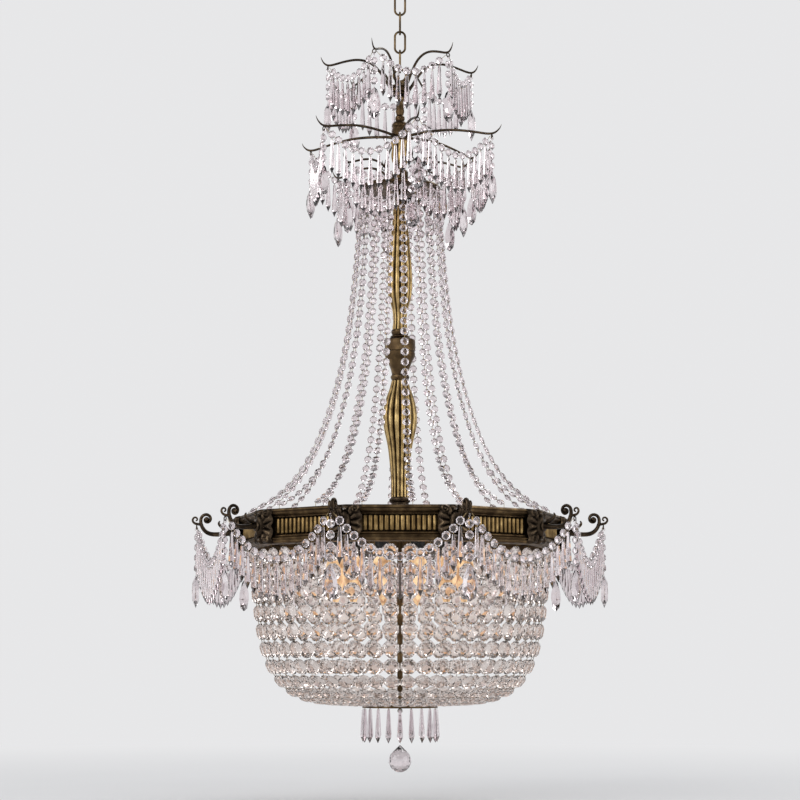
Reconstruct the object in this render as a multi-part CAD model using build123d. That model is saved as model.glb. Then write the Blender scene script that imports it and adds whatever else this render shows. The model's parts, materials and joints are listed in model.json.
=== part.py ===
from build123d import *
from math import atan2, cos, degrees, pi, radians, sin, sqrt, tan
import os

os.makedirs("parts", exist_ok=True)

# A crystal chandelier that hangs from the ceiling.
# Frame: origin on the ceiling at the middle of the canopy, +Z up, the front faces -Y.
# Angles around the axis are counted from the front, towards +X. All sizes in mm.

# ---- ceiling fitting ----
CANOPY_R = 65.0
CANOPY_DEPTH = 30.0
CANOPY_WALL = 1.5
CANOPY_SHOULDER = (0.86, 0.45)  # shares of the canopy's radius and depth
CANOPY_FLOOR = (0.42, 0.86)
BRACKET_LENGTH = 104.0
BRACKET_WIDTH = 22.0
BRACKET_T = 3.0
FIXING_PITCH = 89.0  # between the two screws into the ceiling box
FIXING_HOLE_R = 2.6
STEM_R = 5.0  # threaded tube, in the canopy and down the column
STEM_BORE_R = 3.0
FIT = 0.1  # radial play of a tube in its hole
NUT_R = 9.0
NUT_H = 5.0
CANOPY_NUT_R = 12.0
CANOPY_NUT_H = 6.0
RING_R = 11.5  # of the two big rings, to the middle of the wire
RING_WIRE_R = 2.5
WIRE_WAY_R = 1.2  # of the holes that the lamp wires come through
RING_SINK = 0.9  # how far a ring is let into its neck

# ---- chain ----
LINKS = 5
LINK_LENGTH = 45.0
LINK_WIDTH = 23.0
LINK_WIRE_R = 2.0
LINK_GAP = 0.3

# ---- column, from the top down ----
NECK_R = 9.0
CROWN_NECK_H = 6.0
STUB_LENGTH = 14.0  # of the loop's stub inside the tube
CROWN_HUB_H = 19.0
CROWN_HUB_R = 18.0  # to the middle of each flat
SPACER_H = 51.0
SPACER_R = 9.0
MIDDLE_HUB_H = 37.0
MIDDLE_HUB_R = 14.5
LEAF_CUP_H = 55.0
LEAF_CUP_R = 17.5
LOWER_HUB_H = 31.0
LOWER_HUB_R = 14.5
STRAND_PLATE_T = 8.0
STRAND_PLATE_R = 75.0
SLEEVE_H = 27.0
SLEEVE_R = 13.0
VASE_H = 234.0
VASE_R = 23.0
COLLAR_H = 95.0
COLLAR_R = 28.0
BALUSTER_H = 213.0
BALUSTER_R = 31.0
BASE_H = 51.0
BASE_R = 20.0

# ---- band ----
SIDES = 10
BAND_R = 297.0  # to the outer corners
RIM_H = 16.0
RIM_T = 22.0
GROOVE = 2.0  # width and depth of the groove round each moulding
PANEL_H = 29.0
PANEL_T = 4.0
PANEL_RECESS = 6.0
REED_PITCH = 9.0
REED_R = 3.6
BOSS_W = 48.0
BOSS_PROUD = 8.0
SCREW_R = 2.0
SCREW_LENGTH = 26.0
SCREW_HEAD_R = 3.6
SCREW_HEAD_H = 2.4
SEAT_DEPTH = 2.0  # of the flat seat cut for each screw head
HEAD_PLAY = 0.3  # around a screw head in its seat

# ---- lamp spider ----
SPOKES = 5
SPOKE_W = 20.0
SPIDER_T = 4.0
SPIDER_HUB_R = 34.0
SPOKE_LAP = 9.0  # how far a spoke reaches under the rim
SPOKE_SCREW_IN = 10.0  # how far its screw goes up into the rim
LAMPS = 12
LAMP_RING_R = 120.0
LAMP_RING_W = 26.0
SOCKET_R = 13.0
SOCKET_H = 46.0
SOCKET_WALL = 3.0
BULB_GAP = 2.0  # between a bulb's base and the top of its holder
NIPPLE_R = 4.0
NIPPLE_H = 10.0
SOCKET_NUT_R = 7.0
SOCKET_NUT_H = 3.5
BULB_R = 17.0
BULB_H = 92.0
BULB_BASE_R = 8.0
BULB_TIP_R = 1.5
BULB_SHAPE = ((0.22, 0.9), (0.38, 1.0), (0.75, 0.55))  # shares of the bulb's height and radius

# ---- scroll arms and fronds ----
ARM_T = 9.0  # across the arm, seen from above
ARM_W = 8.0
ARM_HEAD_R = 6.0
ARM_CURL_T = 6.3
ARM_CURL_W = 5.0
ARM_PAD_T = 6.0
ARM_PAD_H = 22.0
ARM_LEVEL = 29.0  # of the arm's straight run above the band's foot
ARM_RUN = 14.0  # from the boss to where the arm has levelled out
ARM_INNER_CURL = ((34, 0), (23, 8), (17, 20), (17, 32), (24, 38), (31, 36))  # in from the tip, up
ARM_OUTER_CURL = ((18, 20), (10, 18), (3, 21), (2, 30), (6, 34))
ARM_REACH = 73.0  # from the boss to the outer curl
ARM_HOOK_IN = 10.0  # from the outer curl back to the hook
FRONDS = 6
FROND_T = 5.0
FROND_W = 6.0
FROND_DIP = 12.0
FROND_ARCH = 3.0  # how much higher than its tip a frond arches
FROND_ARCHING = ((0.1, 0.4), (0.24, 0.85), (0.46, 1.0))  # shares of the span and the rise
FROND_FALL = 0.72  # how far out along its span a frond has fallen half way to its hook
HOOK_SHARE = 0.9  # how far out along a frond its hook is
FROND_ROOT = 9.0  # from the foot of the hub up to the root
CROWN_TIP_R = 149.0
CROWN_TIP_UP = 44.0  # above the top of its hub
MIDDLE_TIP_R = 197.0
MIDDLE_TIP_UP = -26.0
LOWER_TIP_R = 135.0
LOWER_TIP_UP = 8.0
CROWN_FRONT = -20.0  # azimuth of one frond of the top tier
MIDDLE_FRONT = 10.0
LOWER_FRONT = 10.0
HOOK_R = 3.5
HOOK_WIRE_R = 1.0
HOOK_GAP = 0.15
LOOP_R = 2.5
LOOP_WIRE_R = 0.8

# ---- crystal ----
BEAD = 14.0  # across the flats of an octagon bead
BEAD_T = 0.5  # thickness as a share of its size
BEAD_TABLE = 0.55  # size of the flat table as a share of the bead
PIN_R = 0.45
PIN = 4.5  # bare length of a wire pin between two beads
PIN_CLEAR = 0.2  # between a strand's end pin and the metal that it hooks into
STRAND_LIFT = 6.0  # how high a long strand ends above the band
LEAD_APART = 1.2  # how far off the middle each of two joined pins ends, in pin radii
PRISM_LENGTH = 62.0
PRISM_W = 11.0
PRISM_WIDEST = 0.8  # how far down a prism is widest
PRISM_GAP = 3.0
ALMOND_LENGTH = 60.0
ALMOND_W = 25.0
ALMOND_T = 12.0
CROWN_BEADS = 8
CROWN_SAG = 2.43 * BEAD  # larger beads need a longer garland
MIDDLE_BEADS = 11
MIDDLE_SAG = 3.57 * BEAD
LOWER_BEADS = 7
LOWER_SAG = 2.1 * BEAD
ARM_BEADS = 15
ARM_SAG = 58.0 + BEAD
CROWN_DROP_BEADS = 3
ARM_DROP_BEADS = 4
STRANDS = 20
STRAND_BEADS = 34
STRAND_FRONT = 4.5
BASKET_STRANDS = 50
BASKET_INSET = 7.5  # of the strands' tops, in from the band's flats
BASKET_BEAD = 28.0
BASKET_FILL = 0.94  # how much of the way round its row the beads take up at most
BASKET_SMALLEST = 12.5  # two strands run into one where a bead would be smaller
BASKET_RING_R = 66.0
BASKET_RING_H = 8.0
BASKET_RING_T = 3.0
BASKET_DROP = 281.0  # from the band's lower edge to the foot of the ring
RING_PRISMS = 20
RING_PRISM_LENGTH = 58.0
RING_HUB_R = 14.0
RING_SPOKE_W = 6.0
EYE_NECK_H = 2.0
BALL_R = 20.5
BALL_POINT = 27.0  # from the middle of the ball up to its point
BALL_BEADS = 2


def stack(top, *heights):
    """The levels from top down, one under each height."""
    levels = [top]
    for height in heights:
        levels.append(levels[-1] - height)
    return levels


def save(name, solids):
    """Write one piece, or a group of like pieces, to its own file."""
    flat = [solid for shape in solids for solid in shape.solids()]
    export_step(Compound(label=name, children=flat), f"parts/{name}.step")


def turn(angle):
    """A turn that takes +X to the azimuth, counted from the front."""
    return Rot(0, 0, angle - 90)


def around(shape, count, first=0.0):
    """Copies of a shape drawn along +X, evenly spaced around the axis."""
    return [turn(first + 360 * k / count) * shape for k in range(count)]


def rod(start, end, radius):
    """A round bar between two points."""
    run = end - start
    return Plane(origin=(start + end) / 2, z_dir=run).location * Cylinder(radius, run.length)


def tube(radius, bore, top, bottom):
    """A round tube on the axis."""
    body = Cylinder(radius, top - bottom) - Cylinder(bore, top - bottom)
    return Pos(0, 0, (top + bottom) / 2) * body


def turned(radius, top, height, outline):
    """A piece turned on the lathe, bored for the tube.

    outline gives pairs: how far down, and how wide, as shares of the height and the radius.
    """
    points = [(radius * wide, top - height * down) for down, wide in outline]
    inner = Polyline(points[0], (hole, top), (hole, top - height), points[-1])
    return revolve(Plane.XZ * make_face([Spline(*points), inner]), Axis.Z)


def hex_nut(radius, height, bore, top):
    """A six-sided nut whose top is at the given level."""
    body = extrude(RegularPolygon(radius, 6) - Circle(bore), -height)
    return Pos(0, 0, top) * body


def faceted(rings):
    """A closed solid with flat faces through successive rings of points."""
    faces = [ring for ring in (rings[0], rings[-1]) if len(ring) > 1]
    for a, b in zip(rings, rings[1:]):
        count = max(len(a), len(b))
        for i in range(count):
            j = (i + 1) % count
            side_a = [a[i], a[j]] if len(a) > 1 else a
            side_b = [b[j], b[i]] if len(b) > 1 else b
            faces.append(side_a + side_b)
    return Solid(Shell([Face(Wire.make_polygon(face)) for face in faces]))


def regular(radius, sides, z):
    """A level ring of points, or one point where the radius is nought."""
    if radius == 0:
        return [(0, 0, z)]
    angles = [2 * pi * (k + 0.5) / sides for k in range(sides)]
    return [(radius * cos(a), radius * sin(a), z) for a in angles]


def plate_gem(outline, thickness, table):
    """A flat gem: an outline in the YZ plane, cut back to a smaller table on each face."""

    def ring(x, share):
        return [(x, share * y, share * z) for y, z in outline]

    return faceted([ring(-thickness / 2, table), ring(0, 1), ring(thickness / 2, table)])


def octagon(size):
    """An octagon bead. Its wire runs along Z and its tables face along X."""
    corner = size / 2 / cos(pi / 8)
    angles = [pi / 8 + k * pi / 4 for k in range(8)]
    return plate_gem([(corner * cos(a), corner * sin(a)) for a in angles], size * BEAD_T, BEAD_TABLE)


def almond():
    """A faceted almond, narrow at the top, with its top at the origin."""
    angles = [2 * pi * k / 10 for k in range(10)]
    outline = [
        (ALMOND_W / 2 * sin(a) * (1.05 - 0.3 * cos(a)), ALMOND_LENGTH / 2 * cos(a)) for a in angles
    ]
    return Pos(0, 0, -ALMOND_LENGTH / 2) * plate_gem(outline, ALMOND_T, BEAD_TABLE)


def prism(length, width):
    """A six-sided icicle with its top at the origin, widest near its foot."""
    rings = [
        regular(width * 0.22, 6, 0),
        regular(width / 2, 6, -length * PRISM_WIDEST),
        regular(0, 6, -length),
    ]
    return faceted(rings)


def ball():
    """A faceted ball with a drawn-up point, centred on the origin."""
    latitudes = [60, 36, 12, -12, -36, -60]
    rings = [regular(0, 10, BALL_POINT)]
    rings += [regular(BALL_R * cos(radians(a)), 10, BALL_R * sin(radians(a))) for a in latitudes]
    rings.append(regular(BALL_R * 0.2, 10, -BALL_R))
    return faceted(rings)


def strung(path, sizes, lengths, face):
    """Beads on a path at the given distances along it, with a wire pin at each end of each bead.

    face is a direction square to the path's plane or level with it, which the tables look along.
    """
    beads = []
    pins = []
    edge_before = path.position_at(0)
    for size, length in zip(sizes, lengths):
        at = path.position_at(length, position_mode=PositionMode.LENGTH)
        along = path.tangent_at(length, position_mode=PositionMode.LENGTH)
        square = along.cross(face).cross(along)
        beads.append(Plane(origin=at, x_dir=square, z_dir=along).location * octagon(size))
        reach = along * (size / 2)
        pins.append(rod(edge_before, at - reach, PIN_R))
        edge_before = at + reach
    pins.append(rod(edge_before, path.position_at(1), PIN_R))
    return beads, pins


def garland(start, end, count, sag, size=BEAD):
    """A bead garland between two points, with a prism under each bead."""
    middle = (start + end) / 2 - Vector(0, 0, 2 * sag)
    path = Bezier(start, middle, end)
    face = (end - start).cross(Vector(0, 0, 1)).normalized()
    lengths = [path.length * (k + 1) / (count + 1) for k in range(count)]
    beads, pins = strung(path, [size] * count, lengths, face)
    prisms = []
    for length in lengths:
        at = path.position_at(length, position_mode=PositionMode.LENGTH)
        along = path.tangent_at(length, position_mode=PositionMode.LENGTH)
        slope = degrees(atan2(along.Z, sqrt(along.X**2 + along.Y**2)))
        off_flat = (slope + 22.5) % 45 - 22.5
        slant = radians(abs(off_flat))
        foot = at - Vector(0, 0, size / 2 / cos(slant) + PIN_R * tan(slant))
        top = at - Vector(0, 0, size / 2 + PRISM_GAP)
        pins.append(rod(foot, top, PIN_R))
        heading = degrees(atan2(face.Y, face.X))
        prisms.append(Pos(*top) * Rot(0, 0, heading) * prism(PRISM_LENGTH, PRISM_W))
    return beads, pins, prisms


def drop(radius, hook_z, count):
    """A drop that hangs in a hook's ring along +X: wire loop, beads and almond."""
    loop_top = hook_z - HOOK_R + HOOK_WIRE_R + HOOK_GAP + LOOP_WIRE_R
    loop = Pos(radius, 0, loop_top - LOOP_R) * Rot(90, 0, 0) * Torus(LOOP_R, LOOP_WIRE_R)
    level = loop_top - 2 * LOOP_R - PIN
    shank = rod(Vector(radius, 0, loop_top - 2 * LOOP_R), Vector(radius, 0, level), PIN_R)
    solids = [loop + shank]
    for _ in range(count):
        solids.append(Pos(radius, 0, level - BEAD / 2) * octagon(BEAD))
        level -= BEAD
        solids.append(rod(Vector(radius, 0, level), Vector(radius, 0, level - PIN), PIN_R))
        level -= PIN
    solids.append(Pos(radius, 0, level) * almond())
    return solids


def hook(radius, z):
    """A small wire ring across the arm, with its middle at z."""
    return Pos(radius, 0, z) * Rot(0, 90, 0) * Torus(HOOK_R, HOOK_WIRE_R)


def wire_loop(z, turn_z):
    """A small round loop on the axis, with its middle at z, turned about the axis."""
    return Pos(0, 0, z) * Rot(0, 0, turn_z) * Rot(90, 0, 0) * Torus(LOOP_R, LOOP_WIRE_R)


def drawn(points, width, thickness):
    """A bar cut from plate along a smooth line of (radius, height) points."""
    line = Spline(*points)
    return extrude(Plane.XZ * trace(line, width), thickness / 2, both=True)


# ---- levels ----
canopy_foot = -CANOPY_DEPTH
ring_neck = canopy_foot - CANOPY_NUT_H
canopy_ring = ring_neck + RING_SINK - RING_R - RING_WIRE_R
canopy_pivot = canopy_ring - RING_R
link_pitch = LINK_LENGTH - 4 * LINK_WIRE_R - LINK_GAP
first_link = canopy_pivot + RING_WIRE_R + LINK_GAP + 2 * LINK_WIRE_R - LINK_LENGTH / 2
link_centres = [first_link - k * link_pitch for k in range(LINKS)]
last_bow = link_centres[-1] - LINK_LENGTH / 2 + LINK_WIRE_R
crown_ring = last_bow + LINK_WIRE_R + LINK_GAP + RING_WIRE_R - RING_R
neck_top = crown_ring - RING_R - RING_WIRE_R + RING_SINK
(
    _,
    hub_top,
    spacer_top,
    middle_top,
    leaf_top,
    lower_top,
    plate_top,
    sleeve_top,
    vase_top,
    collar_top,
    baluster_top,
    base_top,
    spider_top,
) = stack(
    neck_top,
    CROWN_NECK_H,
    CROWN_HUB_H,
    SPACER_H,
    MIDDLE_HUB_H,
    LEAF_CUP_H,
    LOWER_HUB_H,
    STRAND_PLATE_T,
    SLEEVE_H,
    VASE_H,
    COLLAR_H,
    BALUSTER_H,
    BASE_H,
)
band_top = spider_top + RIM_H
panel_foot = spider_top - PANEL_H
band_foot = panel_foot - RIM_H
ring_foot = band_foot - BASKET_DROP
ring_top = ring_foot + BASKET_RING_H
corner_turn = 180 / SIDES
band_flat = BAND_R * cos(pi / SIDES)
hole = STEM_R + FIT


# ---- ceiling fitting ----
def ceiling_bracket():
    """The strap that is screwed to the ceiling box and carries the stem."""
    plate = Pos(0, 0, -BRACKET_T / 2) * Box(BRACKET_LENGTH, BRACKET_WIDTH, BRACKET_T)
    plate -= Cylinder(hole, 4 * BRACKET_T)
    for side in (-1, 1):
        plate -= Pos(side * FIXING_PITCH / 2, 0, 0) * Cylinder(FIXING_HOLE_R, 4 * BRACKET_T)
    return plate


def canopy():
    """The dish that covers the ceiling box, spun from sheet."""

    def section(off):
        rim = (CANOPY_R - off, 0)
        shoulder = (CANOPY_R * CANOPY_SHOULDER[0] - off, canopy_foot * CANOPY_SHOULDER[1] + off / 2)
        floor = (CANOPY_R * CANOPY_FLOOR[0], canopy_foot * CANOPY_FLOOR[1] + off)
        neck = (CANOPY_NUT_R, canopy_foot + off)
        edge = Spline(rim, shoulder, floor, neck)
        return make_face([edge, Polyline(neck, (0, canopy_foot + off), (0, 0), rim)])

    stem_way = Pos(0, canopy_foot) * Rectangle(2 * hole, CANOPY_DEPTH)
    return revolve(Plane.XZ * (section(0) - section(CANOPY_WALL) - stem_way), Axis.Z)


def big_ring(z):
    """The round ring of a loop, seen face-on from the front."""
    return Pos(0, 0, z) * Rot(90, 0, 0) * Torus(RING_R, RING_WIRE_R)


def canopy_loop():
    """The stem with the ring that the chain starts from, hollow for the wires."""
    stem = tube(STEM_R, STEM_BORE_R, -FIT, ring_neck)
    return stem + big_ring(canopy_ring)


def chain_link(z, edge_on):
    """One oval link of round wire."""
    bow = LINK_WIDTH / 2 - LINK_WIRE_R
    outline = SlotOverall(LINK_LENGTH - 2 * LINK_WIRE_R, 2 * bow, rotation=90)
    path = Plane.XZ * outline.face().outer_wire()
    start = path.edges().filter_by(GeomType.LINE)[0]
    section = Plane(origin=start.position_at(0), z_dir=start.tangent_at(0)) * Circle(LINK_WIRE_R)
    link = sweep(section, path=path)
    return Pos(0, 0, z) * Rot(0, 0, 90 if edge_on else 0) * link


# ---- column ----
def crown_loop():
    """The ring on top of the column, with a hollow stub that screws into the tube."""
    neck = Pos(0, 0, (neck_top + hub_top) / 2) * Cylinder(NECK_R, CROWN_NECK_H)
    stub_foot = hub_top - STUB_LENGTH
    stub = rod(Vector(0, 0, hub_top), Vector(0, 0, stub_foot), STEM_BORE_R - FIT)
    middle = (neck_top + hub_top) / 2
    wire_way = rod(Vector(0, 0, middle), Vector(0, 0, stub_foot - 1), WIRE_WAY_R)
    wire_way += rod(Vector(0, -NECK_R - 1, middle), Vector(0, NECK_R + 1, middle), WIRE_WAY_R)
    return neck + stub + big_ring(crown_ring) - wire_way


def flat_hub(radius, top, height, front):
    """A hub with one flat facing each of its fronds."""
    body = extrude(RegularPolygon(radius, FRONDS, major_radius=False) - Circle(hole), -height)
    return Pos(0, 0, top) * turn(front + 180 / FRONDS) * body


def frond(root_r, hub_foot, tip_r, tip_z):
    """One thin arm that springs up from its hub, arches over and ends in an upturned tip.

    Returns the arm, and the radius and height of its hook.
    """
    span = tip_r - root_r
    root_z = hub_foot + FROND_ROOT
    rise = tip_z + FROND_ARCH - root_z
    points = [(root_r + FROND_W / 2, root_z)]
    for out, up in FROND_ARCHING:
        points.append((root_r + out * span, root_z + up * rise))
    points.append((root_r + FROND_FALL * span, tip_z - FROND_DIP / 2))
    points.append((root_r + HOOK_SHARE * span, tip_z - FROND_DIP))
    points.append((tip_r, tip_z))
    root = Pos(root_r + FROND_W / 2, 0, root_z) * Box(FROND_W, FROND_T, 2 * FROND_ROOT)
    hook_r = root_r + HOOK_SHARE * span
    hook_z = tip_z - FROND_DIP - FROND_W / 2 - HOOK_R + HOOK_WIRE_R / 2
    return root + drawn(points, FROND_W, FROND_T) + hook(hook_r, hook_z), hook_r, hook_z


def strand_plate():
    """The hub of the lowest tier, with the plate under it that carries the long strands."""
    hub = flat_hub(LOWER_HUB_R, lower_top, LOWER_HUB_H, LOWER_FRONT)
    return hub + tube(STRAND_PLATE_R, hole, plate_top, sleeve_top)


def leaf_cup():
    """The cup of leaves under the middle tier."""
    outline = [(0, 0.78), (0.12, 0.9), (0.45, 1), (0.8, 0.75), (1, 0.5)]
    return turned(LEAF_CUP_R, leaf_top, LEAF_CUP_H, outline)


def upper_vase():
    """The slim upper vase of the column."""
    outline = [(0, 0.58), (0.32, 0.82), (0.54, 1), (0.71, 0.98), (0.82, 0.68), (0.91, 0.56)]
    outline.append((1, 0.64))
    return turned(VASE_R, vase_top, VASE_H, outline)


def column_collar():
    """The turned cup and neck between the two vases."""
    cup = [(0, 0.64), (0.1, 0.7), (0.22, 0.98), (0.35, 1), (0.52, 0.98)]
    neck = [(0.63, 0.8), (0.83, 0.62), (1, 0.56)]
    return turned(COLLAR_R, collar_top, COLLAR_H, cup + neck)


def lower_baluster():
    """The fuller lower baluster of the column."""
    outline = [(0, 0.5), (0.12, 0.75), (0.3, 1), (0.49, 0.79), (0.7, 0.59), (1, 0.51)]
    return turned(BALUSTER_R, baluster_top, BALUSTER_H, outline)


def column_base():
    """The foot of the column, which stands on the spider's hub."""
    outline = [(0, 0.79), (0.1, 1), (0.25, 0.85), (0.6, 1), (1, 1.3)]
    return turned(BASE_R, base_top, BASE_H, outline)


# ---- band ----
def ten_sided(flat, height, top):
    """A solid ten-sided slab with a corner at +X."""
    return Pos(0, 0, top) * extrude(RegularPolygon(flat, SIDES, major_radius=False), -height)


def at_corner(shape):
    """Copies of a shape drawn along +X, one at each corner of the band."""
    return around(shape, SIDES, corner_turn)


def at_side(shape):
    """Copies of a shape drawn along +X, one at each side of the band."""
    return around(shape, SIDES)


def screw(radius, z):
    """A screw from inside the band out through a corner, drawn along +X."""
    inner = radius - SCREW_HEAD_H
    head = rod(Vector(inner, 0, z), Vector(radius, 0, z), SCREW_HEAD_R)
    return head + rod(Vector(radius, 0, z), Vector(radius + SCREW_LENGTH, 0, z), SCREW_R)


rim_inner = band_flat - RIM_T
rim_corner = rim_inner / cos(pi / SIDES)
screw_seat = rim_corner + SEAT_DEPTH
screw_levels = [band_top - RIM_H / 2, band_foot + RIM_H / 2]


def corner_holes():
    """The drilled ways for the corner screws, each with a flat seat for the head."""
    seat = rod(Vector(rim_corner - RIM_T, 0, 0), Vector(screw_seat, 0, 0), SCREW_HEAD_R + HEAD_PLAY)
    drilled = Vector(screw_seat + SCREW_LENGTH + 1, 0, 0)
    return seat + rod(Vector(screw_seat - 1, 0, 0), drilled, SCREW_R + FIT)


def rim(top, level):
    """One ten-sided moulding with a groove round it."""
    body = ten_sided(band_flat, RIM_H, top) - ten_sided(rim_inner, RIM_H, top)
    groove_top = top - RIM_H / 2 + GROOVE / 2
    body -= ten_sided(band_flat + 1, GROOVE, groove_top) - ten_sided(band_flat - GROOVE, GROOVE, groove_top)
    for way in at_corner(Pos(0, 0, level) * corner_holes()):
        body -= way
    return body


def band_panel():
    """One recessed panel with upright reeds, mitred to its neighbours, drawn along +X."""
    outer = band_flat - PANEL_RECESS
    inner = outer - PANEL_T
    half = tan(pi / SIDES)
    plan = make_face(
        Polyline(
            (inner, -inner * half),
            (outer, -outer * half),
            (outer, outer * half),
            (inner, inner * half),
            close=True,
        )
    )
    clear = 2 * outer * half - BOSS_W
    count = int(clear / REED_PITCH)
    reeds = [Pos(outer, (k - (count - 1) / 2) * REED_PITCH) * Circle(REED_R) for k in range(count)]
    return Pos(0, 0, panel_foot) * extrude(plan + reeds, PANEL_H)


def corner_boss():
    """The ornament block that covers a corner, drawn along +X."""
    height = band_top - band_foot
    deep = BAND_R + BOSS_PROUD - band_flat + 2
    block = Pos(BAND_R + BOSS_PROUD - deep / 2, 0, band_foot + height / 2) * Box(deep, BOSS_W, height)
    block = chamfer(block.edges().filter_by(Axis.Z).group_by(Axis.X)[-1], BOSS_PROUD)
    block -= ten_sided(band_flat, height, band_top)
    for level in screw_levels:
        block -= Pos(0, 0, level) * corner_holes()
    return block


def scroll_arm():
    """One S-scroll arm with its inner curl, outer curl and hook, drawn along +X."""
    root = BAND_R + BOSS_PROUD
    tip = root + ARM_REACH
    low = band_foot + ARM_LEVEL
    stem = [(root + 1, low + ARM_PAD_H / 8), (root + ARM_RUN, low)]
    stem += [(tip - out, low + up) for out, up in ARM_INNER_CURL]
    curl = [(tip - out, low + up) for out, up in ARM_OUTER_CURL]
    pad = Pos(root + ARM_PAD_T / 2, 0, low) * Box(ARM_PAD_T, ARM_T, ARM_PAD_H)
    head_out, head_up = ARM_INNER_CURL[-1]
    head_z = low + head_up - ARM_W / 2
    head = Pos(tip - head_out, 0, head_z) * Rot(90, 0, 0) * Cylinder(ARM_HEAD_R, ARM_T)
    arm = pad + head + drawn(stem, ARM_W, ARM_T) + drawn(curl, ARM_CURL_W, ARM_CURL_T)
    hook_r = tip - ARM_HOOK_IN
    hook_z = low + ARM_OUTER_CURL[1][1] - ARM_CURL_W / 2 - HOOK_R + HOOK_WIRE_R / 2
    return arm + hook(hook_r, hook_z), hook_r, hook_z


# ---- lamp spider ----
spoke_screw_r = rim_inner + SPOKE_LAP / 2
socket_top = spider_top - SPIDER_T


def lamp_spider():
    """Hub, spokes and lamp ring in one casting, under the upper moulding."""
    reach = rim_inner + SPOKE_LAP
    plan = Circle(SPIDER_HUB_R)
    plan += Circle(LAMP_RING_R + LAMP_RING_W / 2) - Circle(LAMP_RING_R - LAMP_RING_W / 2)
    for k in range(SPOKES):
        plan += Rot(0, 0, 360 * k / SPOKES - 90) * Pos(reach / 2, 0) * Rectangle(reach, SPOKE_W)
    plan -= Circle(hole)
    for k in range(LAMPS):
        plan -= Rot(0, 0, lamp_azimuth(k) - 90) * Pos(LAMP_RING_R, 0) * Circle(NIPPLE_R + FIT)
    for k in range(SPOKES):
        plan -= Rot(0, 0, 360 * k / SPOKES - 90) * Pos(spoke_screw_r, 0) * Circle(SCREW_R + FIT)
    return Pos(0, 0, spider_top) * extrude(plan, -SPIDER_T)


def lamp_azimuth(k):
    """Where a lamp stands, clear of the spokes."""
    return 360 * (k + 0.5) / LAMPS


def spoke_screw():
    """A screw up through a spoke into the moulding, drawn along +X."""
    seat = spider_top - SPIDER_T
    under = Vector(spoke_screw_r, 0, seat)
    head = rod(under - Vector(0, 0, SCREW_HEAD_H), under, SCREW_HEAD_R)
    return head + rod(under, under + Vector(0, 0, SPIDER_T + SPOKE_SCREW_IN), SCREW_R)


def lamp_socket():
    """A lamp holder with its nipple, on the axis of its lamp, drawn along +X."""
    body = Pos(0, 0, -SOCKET_H / 2) * Cylinder(SOCKET_R, SOCKET_H)
    body -= Pos(0, 0, -SOCKET_WALL - SOCKET_H / 2) * Cylinder(SOCKET_R - SOCKET_WALL, SOCKET_H)
    body += Pos(0, 0, NIPPLE_H / 2) * Cylinder(NIPPLE_R, NIPPLE_H)
    return Pos(LAMP_RING_R, 0, socket_top) * body


def bulb():
    """A candle bulb hanging tip down, its base inside the holder, drawn along +X."""
    top = -SOCKET_WALL - BULB_GAP
    glass = -SOCKET_H - BULB_GAP / 2
    tip = glass - BULB_H
    side = [(BULB_R * wide, glass - BULB_H * down) for down, wide in BULB_SHAPE]
    outline = Spline((BULB_BASE_R, glass), *side, (BULB_TIP_R, tip))
    axis = [(BULB_TIP_R, tip), (0, tip), (0, top), (BULB_BASE_R, top), (BULB_BASE_R, glass)]
    body = revolve(Plane.XZ * make_face([outline, Polyline(*axis)]), Axis.Z)
    return Pos(LAMP_RING_R, 0, socket_top) * body


# ---- basket ring and ball ----
eye_z = ring_foot - EYE_NECK_H - HOOK_R
strand_top = eye_z - HOOK_R + HOOK_WIRE_R + HOOK_GAP + LOOP_WIRE_R


def basket_ring():
    """The small ring that gathers the basket, with its hub, its spokes and the eye under it."""
    half = BASKET_RING_T / 2
    body = tube(BASKET_RING_R + half, BASKET_RING_R - half, ring_top, ring_foot)
    plan = Circle(RING_HUB_R)
    run = BASKET_RING_R - RING_HUB_R
    for k in range(SPOKES):
        spoke = Pos(RING_HUB_R + run / 2, 0) * Rectangle(run + 2, RING_SPOKE_W)
        plan += Rot(0, 0, 360 * k / SPOKES - 90) * spoke
    body += Pos(0, 0, ring_top) * extrude(plan, -BASKET_RING_T)
    body += Pos(0, 0, ring_top) * extrude(Circle(RING_HUB_R), -BASKET_RING_H)
    body -= Pos(0, 0, ring_top) * Cylinder(hole, BASKET_RING_H)
    neck_foot = ring_foot - EYE_NECK_H + HOOK_WIRE_R / 2
    neck = rod(Vector(0, 0, ring_foot), Vector(0, 0, neck_foot), 2 * HOOK_WIRE_R)
    return body + neck + Pos(0, 0, eye_z) * Rot(90, 0, 0) * Torus(HOOK_R, HOOK_WIRE_R)


def upright_pin(top):
    """A pin on the axis, down from the given level."""
    return rod(Vector(0, 0, top), Vector(0, 0, top - PIN), PIN_R)


def ball_strand():
    """The short strand that hangs in the eye, with a loop at its foot for the ball."""
    level = strand_top - 2 * LOOP_R
    solids = []
    pins = [wire_loop(strand_top - LOOP_R, 90) + upright_pin(level)]
    level -= PIN
    for _ in range(BALL_BEADS):
        solids.append(Pos(0, 0, level - BEAD / 2) * octagon(BEAD))
        level -= BEAD
        pins.append(upright_pin(level))
        level -= PIN
    pins[-1] += wire_loop(level - LOOP_R, 90)
    return solids + pins, level - 2 * LOOP_R


def hung_ball(pivot):
    """The faceted ball with the loop that it hangs by. pivot is the wire that it hangs on."""
    top = pivot + LOOP_WIRE_R + HOOK_GAP + LOOP_WIRE_R
    shank_top = top - 2 * LOOP_R
    point = shank_top - PIN
    loop = wire_loop(top - LOOP_R, 0) + upright_pin(shank_top)
    return [loop, Pos(0, 0, point - BALL_POINT) * ball()]


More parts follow.
